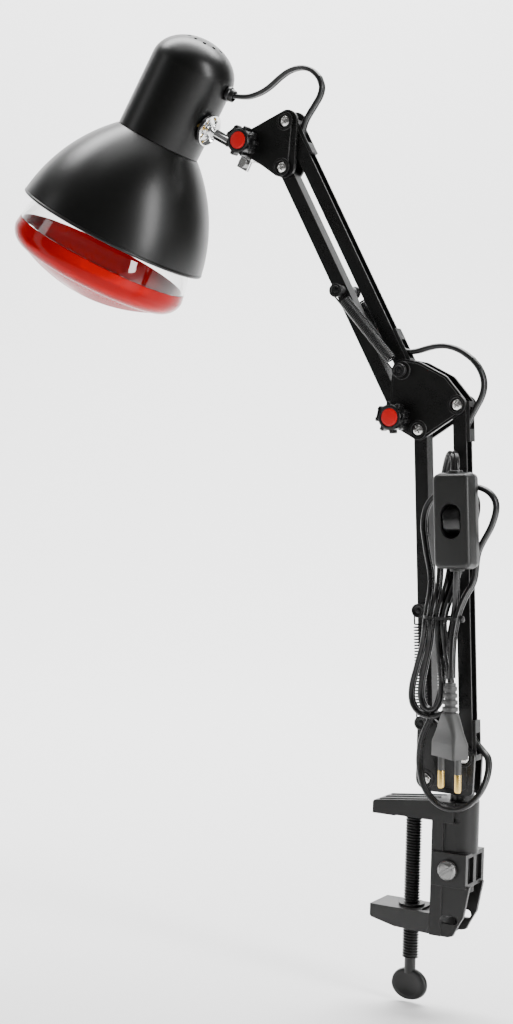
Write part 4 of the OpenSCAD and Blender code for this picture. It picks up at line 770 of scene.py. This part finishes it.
def knob(name, p, body, node, cap_node, turn):
    at = along_y(p, -PAD_Y - 0.1)
    front = prism_mesh(lobed(7.9, 1.9, 8, 11, turn), 5.6, 12.4, 0.7)
    rear = prism_mesh(lobed(6.9, 1.5, 8, 12, turn + 22.5), 0.2, 6.2, 0.6)
    collar = lathe_mesh(fillet([(5.3, 11.2), (7.4, 12.2), (7.2, 12.8), (6.0, 13.0), (5.5, 12.6)], 0.25, closed=True),
                        64,
                        closed=True)
    hub_line = lathe_mesh([(2.1, 0), (5.6, 0), (5.6, 0.4), (2.1, 0.4)], 48, closed=True)
    v, f = joined(front, rear, collar, hub_line)
    piece(name, v, f, body, "knob_plastic", node, at=at, sharp=38)
    cap = fillet([(0, 13.35), (4.2, 13.2), (5.3, 12.9), (5.45, 12.2), (5.45, 11.5), (0, 11.5)],
                 [0, 2.5, 0.7, 0.4, 0.1, 0])
    lathe(name + "_cap_disc", cap, body, "red_plastic", cap_node, at=at, n=64)


knob("elbow_knob_grip", UPPER_FRONT, "elbow_knob_body", "elbow_knob", "elbow_knob_cap", 8)
knob("head_knob_grip", KNOB_AT, "head_knob_body", "head_knob", "head_knob_cap", 14)


def spool_mesh(y0):
    """A grooved anchor along Z from y0, its open end outermost."""
    line = fillet([(1.9, y0), (3.7, y0), (3.7, SPRING_Y - 1.5), (2.8, SPRING_Y - 1.0), (2.8, SPRING_Y + 1.0),
                   (4.2, SPRING_Y + 1.4), (4.2, 13.0), (3.9, 13.2), (2.9, 13.2), (2.7, 12.5), (1.5, 12.4), (1.3, 12.9),
                   (0, 13.0)], [0, 0.3, 0.5, 0.7, 0.7, 0.3, 0.3, 0.2, 0.3, 0.2, 0.3, 0.3, 0])
    return lathe_mesh(line, 48)


def spool_piece(name, p, y0, body, node, through):
    parts = [placed(spool_mesh(y0), moved(("X", s))) for s in (90, -90)]
    if through:
        parts.append(placed(lathe_mesh([(0, -y0 - 1), (2, -y0 - 1), (2, y0 + 1), (0, y0 + 1)], 32), moved(("X", 90))))
    else:
        parts += [placed(lathe_mesh([(0, 4.6), (2, 4.6), (2, y0 + 1), (0, y0 + 1)], 32), moved(("X", s)))
                  for s in (90, -90)]
    v, f = joined(*parts)
    return piece(name, v, f, body, "black_steel", node, at=moved((p[0], 0, p[1])))


spool_piece("base_anchor_pair", BASE_ANCHOR, PAD_Y + 0.1, "base", "base_spools", False)
spool_piece("lower_spring_post", LOWER_BOLT, ARM_Y + 0.1, "front_lower_arm", "lower_spring_bolt", True)
spool_piece("elbow_anchor_pair", UPPER_REAR, RING_Y + 0.1, "elbow", "elbow_spools", True)
spool_piece("upper_spring_post", UPPER_BOLT, ARM_Y + 0.1, "front_upper_arm", "upper_spring_bolt", True)


def spring_mesh(a, b, y, turns, wire=1.1, outer=7.6, per=18):
    """Hook, coil and hook, from the bolt at a to the anchor at b."""
    top, bottom = Vector((a[0], y, a[1])), Vector((b[0], y, b[1]))
    t = (bottom - top).normalized()
    n = Vector((t.z, 0, -t.x))
    w = Vector((0, 1, 0))
    rc = (outer - wire) / 2
    rh = (5.6 + wire) / 2 + 0.1
    start = 8.4
    coil = (bottom - top).length - 2 * start
    line = [top + rh * (math.cos(rad(q)) * n - math.sin(rad(q)) * t) for q in range(225, 10, -15)]
    for i in range(int(turns * per) + 1):
        q = 360 * i / per
        line.append(top + (start + coil * i / (turns * per)) * t + rc * (math.cos(rad(q)) * n + math.sin(rad(q)) * w))
    line += [bottom + rh * (math.cos(rad(q)) * n + math.sin(rad(q)) * t) for q in range(15, 231, 15)]
    if turns != int(turns):
        raise ValueError("whole turns only")
    return sweep_mesh(line, round_section(wire / 2, 8))


def spring_pair(name, a, b, turns, node):
    v, f = joined(*[spring_mesh(a, b, s * SPRING_Y, turns) for s in (-1, 1)])
    o = piece(name, v, f, None, "spring_steel", node, sharp=70)
    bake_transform(o)
    return o


spring_pair("lower_spring_coils", LOWER_BOLT, BASE_ANCHOR, 28, "lower_springs")
spring_pair("upper_spring_coils", UPPER_BOLT, UPPER_REAR, 40, "upper_springs")


# ---------------------------------------------------------------- clamp screw and locking screw
SCREW_LEN, SEAT, PITCH, SCREW_R = 89.0, 5.0, 1.75, 5.0
rows, around = int((SCREW_LEN + SEAT) / PITCH * 8), 48
v, f = [], []
for i in range(rows + 1):
    z = SEAT - (SCREW_LEN + SEAT) * i / rows
    for k in range(around):
        turn = (z / PITCH + k / around) % 1
        depth = 0.85 * min(1, max(0, 1.7 * abs(2 * turn - 1) - 0.35))
        end = min(1, (SEAT - z) / 1.2 + 0.55, (z + SCREW_LEN) / 1.2 + 0.55)
        r = (SCREW_R - depth) * min(1, end)
        v.append((r * math.cos(2 * math.pi * k / around), r * math.sin(2 * math.pi * k / around), z))
for i in range(rows):
    for k in range(around):
        q = (k + 1) % around
        f.append((i * around + k, i * around + q, (i + 1) * around + q, (i + 1) * around + k))
f.append(tuple(range(around)))
f.append(tuple(rows * around + k for k in reversed(range(around))))
neck_line = lathe_mesh([(0, -SCREW_LEN + 1), (3.5, -SCREW_LEN + 1), (3.5, -SCREW_LEN - 9), (0, -SCREW_LEN - 9)], 40)


def paddle_mesh(rx, rz, t, n=72, rings=14):
    """A rounded disc in XZ, thick at its rim and hollowed on both faces."""
    v, f = [], []
    for side in (-1, 1):
        base = len(v)
        for j in range(rings + 1):
            s = j / rings
            rim = math.sqrt(max(0.0, 1 - max(0.0, (s - 0.86) / 0.14) ** 2))
            hollow = 0.55 + 0.45 * min(1, (s / 0.72) ** 2)
            y = side * t / 2 * hollow * rim
            for k in range(n):
                a = 2 * math.pi * k / n
                v.append((rx * s * math.cos(a), y, rz * s * math.sin(a)))
        for j in range(rings):
            for k in range(n):
                q = (k + 1) % n
                f.append((base + j * n + k, base + j * n + q, base + (j + 1) * n + q, base + (j + 1) * n + k))
    return v, f


paddle = placed(paddle_mesh(12, 10, 5), moved((0, 0, -SCREW_LEN - 16)))
all_v, all_f = joined((v, f), neck_line, paddle)
piece("clamp_screw_threaded", all_v, all_f, "thumb_screw", "screw_plastic", "clamp_screw",
      at=moved((SCREW_X, 0, 0)), sharp=50)

lock_at = (SWIVEL_X - 1.9, -17.5 - 10.25)
lock_line = fillet([(0, 4.1), (4.4, 4.1), (6.0, 2.6), (6.0, 0.1), (2.45, 0.1), (2.45, -9), (0, -9)],
                   [0, 0.8, 0.8, 0.3, 0.1, 0.3, 0])
lock = lathe("locking_screw_head", lock_line, "set_screw", "set_screw_steel", "locking_screw",
             at=along_y(lock_at, -13.5), n=64)
carve(lock, placed(box_mesh((-8, -1.0, 2.0), (8, 1.0, 6)), along_y(lock_at, -13.5) @ moved(("Z", 35))))


# ---------------------------------------------------------------- switch
def rounded_rect(w, h, r, n=7):
    out = []
    for cx, cy, a0 in ((w / 2 - r, h / 2 - r, 0), (-w / 2 + r, h / 2 - r, 90), (-w / 2 + r, -h / 2 + r, 180),
                       (w / 2 - r, -h / 2 + r, 270)):
        for k in range(n + 1):
            a = rad(a0 + 90 * k / n)
            out.append((cx + r * math.cos(a), cy + r * math.sin(a)))
    return out


SW_W, SW_H, SW_T = 24.5, 56.8, 16.6


def half_shell(side):
    """One half of the switch housing: side -1 is the front. Layers of rounded outlines, rounded over at the face."""
    layers = [(0.0, 0.35, 3.4), (0.12, 0.0, 3.6), (0.6, 0.0, 3.6)]
    t = SW_T / 2
    for k in range(9):
        a = rad(90 * k / 8)
        layers.append((t - 2.6 + 2.6 * math.sin(a) , 0.75 + 2.4 * (1 - math.cos(a)), 3.4))
    v, f = [], []
    for d, inset, r in layers:
        for x, z in rounded_rect(SW_W - 2 * inset, SW_H - 2 * inset, r):
            v.append((x, side * max(d, 0.12), z))
    n = len(rounded_rect(1, 1, 0.1))
    for i in range(len(layers) - 1):
        for k in range(n):
            q = (k + 1) % n
            f.append((i * n + k, i * n + q, (i + 1) * n + q, (i + 1) * n + k))
    f.append(tuple(range(n)))
    f.append(tuple((len(layers) - 1) * n + k for k in reversed(range(n))))
    return v, f


def collar_mesh(z, s):
    line = fillet([(2.9, -0.6), (4.4, -0.6), (4.4, 1.2), (4.0, 1.8), (2.9, 1.8)], 0.4, closed=True)
    return placed(lathe_mesh(line, 40, closed=True), moved((0, 0, s * z), ("X", 0 if s > 0 else 180)))


v, f = joined(half_shell(-1), half_shell(1), collar_mesh(SW_H / 2 - 0.6, 1), collar_mesh(SW_H / 2 - 0.6, -1))
shell = piece("switch_shell", v, f, "rear_lower_arm", "switch_plastic", "switch_body", at=ON_SWITCH, sharp=40)


def oval(half, r, n=24):
    out = []
    for k in range(n + 1):
        a = rad(180 * k / n)
        out.append((r * math.cos(a), half + r * math.sin(a)))
    for k in range(n + 1):
        a = rad(180 + 180 * k / n)
        out.append((r * math.cos(a), -half + r * math.sin(a)))
    return out


TO_FRONT = ("X", 90)
cut_oval = prism_mesh(oval(3.9, 6.4), 0, 12, 0.01, 1)
carve(shell, placed(cut_oval, ON_SWITCH @ moved((0, -SW_T / 2 + 7.9, 0), TO_FRONT)), sharp=40)

ROCKER_Y = -SW_T / 2 + 2.2
v, f = [], []
outline = oval(3.9, 5.8)
n = len(outline)
depths = [(0.0, 0.0), (5.4, 0.0), (6.2, 0.25), (6.6, 0.9)]
for d, inset in depths:
    for x, z in outline:
        k = 1 - inset / 5.8
        rim = 10.1 - math.sqrt(max(0.0, 10.1 ** 2 - z * z)) if d > 3 else 0.0
        v.append((x * k, -(d - 4.0) + rim * 0.9 + 0.4, z * (1 - inset / 9.7)))
for i in range(len(depths) - 1):
    for k in range(n):
        q = (k + 1) % n
        f.append((i * n + k, i * n + q, (i + 1) * n + q, (i + 1) * n + k))
f.append(tuple(range(n)))
top = (len(depths) - 1) * n
centre = len(v)
for j, s in enumerate((0.75, 0.5, 0.25)):
    for x, z in outline:
        rim = 10.1 - math.sqrt(max(0.0, 10.1 ** 2 - (z * s) ** 2))
        v.append((x * s * 0.85, -2.2 + rim * 0.9 + (1 - s) * 0.9, z * s * 0.92))
for k in range(n):
    q = (k + 1) % n
    f.append((top + k, top + q, centre + q, centre + k))
    for j in range(2):
        f.append((centre + j * n + k, centre + j * n + q, centre + (j + 1) * n + q, centre + (j + 1) * n + k))
f.append(tuple(centre + 2 * n + k for k in reversed(range(n))))
rocker_mesh = joined((v, f), placed(lathe_mesh([(0, -8.5), (1, -8.5), (1, 8.5), (0, 8.5)], 20), moved(("Y", 90))))
piece("switch_rocker_piece", *rocker_mesh, "rocker", "rocker_plastic", "switch_rocker",
      at=ON_SWITCH @ moved((0, ROCKER_Y, 0), ("X", 6)), sharp=50)

# ---------------------------------------------------------------- plug
sections = [(0, 25.6, 11, 1.6), (0.4, 25.6, 11, 1.6), (8, 25.6, 11, 1.8), (9.2, 25.0, 10.8, 2.0), (12, 23.2, 9.6, 2.4),
            (15, 21.0, 8.8, 2.8), (18, 18.4, 8.8, 3.2), (21, 15.4, 9.0, 3.6), (23.4, 12.6, 9.3, 4.0),
             (25.2, 10.8, 9.4, 4.4),
            (26, 9.6, 9.0, 4.3)]
v, f = [], []
for z, w, t, r in sections:
    v += [(x, y, z) for x, y in rounded_rect(w, t, r)]
n = len(rounded_rect(1, 1, 0.1))
for i in range(len(sections) - 1):
    for k in range(n):
        q = (k + 1) % n
        f.append((i * n + k, i * n + q, (i + 1) * n + q, (i + 1) * n + k))
f.append(tuple(range(n)))
f.append(tuple((len(sections) - 1) * n + k for k in reversed(range(n))))
plug_parts = [(v, f)]
for i in range(4):
    w = 9.6 - 0.5 * i
    plug_parts.append(placed(prism_mesh(rounded_rect(w, w * 0.86, w * 0.36), 26.9 + 4 * i, 29.4 + 4 * i, 0.4),
                             moved((0, 0, 0))))
plug_parts.append(lathe_mesh([(0, 25), (3.4, 25), (3.3, 43.2), (3.0, 43.4), (0, 43.4)], 40))
for s in (-1, 1):
    plug_parts.append(placed(prism_mesh(rounded_rect(4.6, 2.6, 1.2), 0, 0.7, 0.3),
                             moved((0, s * 5.3, 4.4), ("X", 90 * s))))
v, f = joined(*plug_parts)
piece("plug_shell", v, f, "rear_lower_arm", "plug_plastic", "mains_plug", at=ON_PLUG)
tips, sleeves = [], []
for s in (-1, 1):
    tips.append(placed(lathe_mesh(fillet([(0, -19.9), (1.5, -19.7), (2.0, -18.6), (2.0, -9), (0, -9)],
                                          [0, 0.5, 0.6, 0.1, 0]),
                                  32), moved((s * 9.5, 0, 0))))
    sleeves.append(placed(lathe_mesh(fillet([(0, -9.6), (1.85, -9.6), (1.95, -9.4), (1.95, 4), (0, 4)],
                                             [0, 0.1, 0.1, 0.1, 0]),
                                     32), moved((s * 9.5, 0, 0))))
piece("pin_tips", *joined(*tips), "rear_lower_arm", "brass", "plug_pins", at=ON_PLUG)
piece("pin_sleeves", *joined(*sleeves), "rear_lower_arm", "plug_plastic", at=ON_PLUG)

# ---------------------------------------------------------------- tie
tie_path = []
for x, y in rounded_rect(23.2, 11.8, 4.6, 8):
    tie_path.append((38 + x, -21.8 + y, TIE_Z))
tie_path.append(tie_path[0])
strap = [(-0.9, -0.3), (0.9, -0.3), (0.9, 0.3), (-0.9, 0.3)]
v, f = sweep_mesh(tie_path, strap, wide=[(0, 0, 1)] * len(tie_path), caps=False)
knot = placed(lathe_mesh(fillet([(0, -1.9), (1.5, -1.7), (1.7, 0), (1.5, 1.7), (0, 1.9)], 0.8), 24),
              moved((50.2, -22.5, TIE_Z), ("X", 35)))
piece("tie_strap", *joined((v, f), knot), "rear_lower_arm", "cord_pvc", "hank_tie", sharp=50)

for job in cord_jobs:
    job()

# ---------------------------------------------------------------- finishes of the frame's own nodes
NODE_SLOTS = {
    "clamp_body": "clamp_plastic", "lower_jaw": "jaw_plastic", "base_bracket": "black_paint", "swivel_pin": "steel",
    "swivel_collar": "black_steel", "lower_tube": "black_paint", "lower_channel": "black_paint",
    "lower_cord_run": "cord_pvc", "lower_clips": "clip_plastic", "elbow_front_plate": "black_paint",
    "elbow_rear_plate": "black_paint", "upper_tube": "black_paint", "upper_channel": "black_paint",
    "upper_cord_run": "cord_pvc", "upper_clips": "clip_plastic", "bracket_front_plate": "black_paint",
    "bracket_rear_plate": "black_paint", "rod_clamp": "chrome", "rod_clamp_bolt": "steel", "holder_stem": "steel"}
for name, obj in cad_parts.items():
    if obj.hide_render:
        continue
    obj.data.materials.clear()
    obj.data.materials.append(SLOTS[NODE_SLOTS[name]])

# ---------------------------------------------------------------- floor and light
FLOOR_Z = low.z - 0.002
verts, faces = [], []
bend = [(1.3 + 0.7 * math.sin(rad(a)), 0.7 * (1 - math.cos(rad(a)))) for a in range(0, 91, 6)]
profile = [(-2.2, 0.0)] + bend + [(2.0, 3.0)]
for x in (-3.0, 3.0):
    for y, z in profile:
        verts.append((x, y, FLOOR_Z + z))
k = len(profile)
for i in range(k - 1):
    faces.append((i, i + 1, k + i + 1, k + i))
me = bpy.data.meshes.new("floor")
me.from_pydata(verts, [], faces)
floor = bpy.data.objects.new("floor", me)
scene.collection.objects.link(floor)
floor.rotation_euler = (0, 0, TURN)
me.shade_smooth()
paper = material("paper", (0.86, 0.86, 0.86), 0.8, dark=0.99, grain=300, bump=0.01)
me.materials.append(paper)
floor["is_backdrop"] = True

world = bpy.data.worlds.new("studio")
scene.world = world
world.use_nodes = True
world.node_tree.nodes["Background"].inputs[0].default_value = (1, 1, 1, 1)
world.node_tree.nodes["Background"].inputs[1].default_value = 0.16


def softbox(name, place, aim, w, h, power):
    light = bpy.data.lights.new(name, "AREA")
    light.shape, light.size, light.size_y, light.energy = "RECTANGLE", w, h, power
    o = bpy.data.objects.new(name, light)
    scene.collection.objects.link(o)
    o.location = place
    o.rotation_euler = (Vector(aim) - Vector(place)).to_track_quat("-Z", "Y").to_euler()
    return o


def from_camera(side, height, toward):
    """A place given as metres to the camera's right, above the middle of the lamp, and towards the camera."""
    ahead = Vector((forward.x, forward.y, 0)).normalized()
    return Vector((-0.03, 0, 0.2)) + level * side + Vector((0, 0, height)) - ahead * toward


MIDDLE = (-0.05, 0, 0.25)
softbox("key", from_camera(1.05, 0.45, 1.0), MIDDLE, 0.26, 1.3, 30)
softbox("side", from_camera(-1.3, 0.35, 0.12), MIDDLE, 0.3, 1.2, 2.5)
softbox("top", from_camera(0.0, 1.3, 0.1), MIDDLE, 1.2, 0.5, 6)
softbox("wall", from_camera(0.0, 1.9, -0.7), from_camera(0.0, 0.0, -1.9), 2.6, 1.0, 150)
softbox("ground", from_camera(0.0, 1.5, -0.75), from_camera(0.0, -0.3, -0.9), 2.4, 0.5, 40)

low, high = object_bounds()
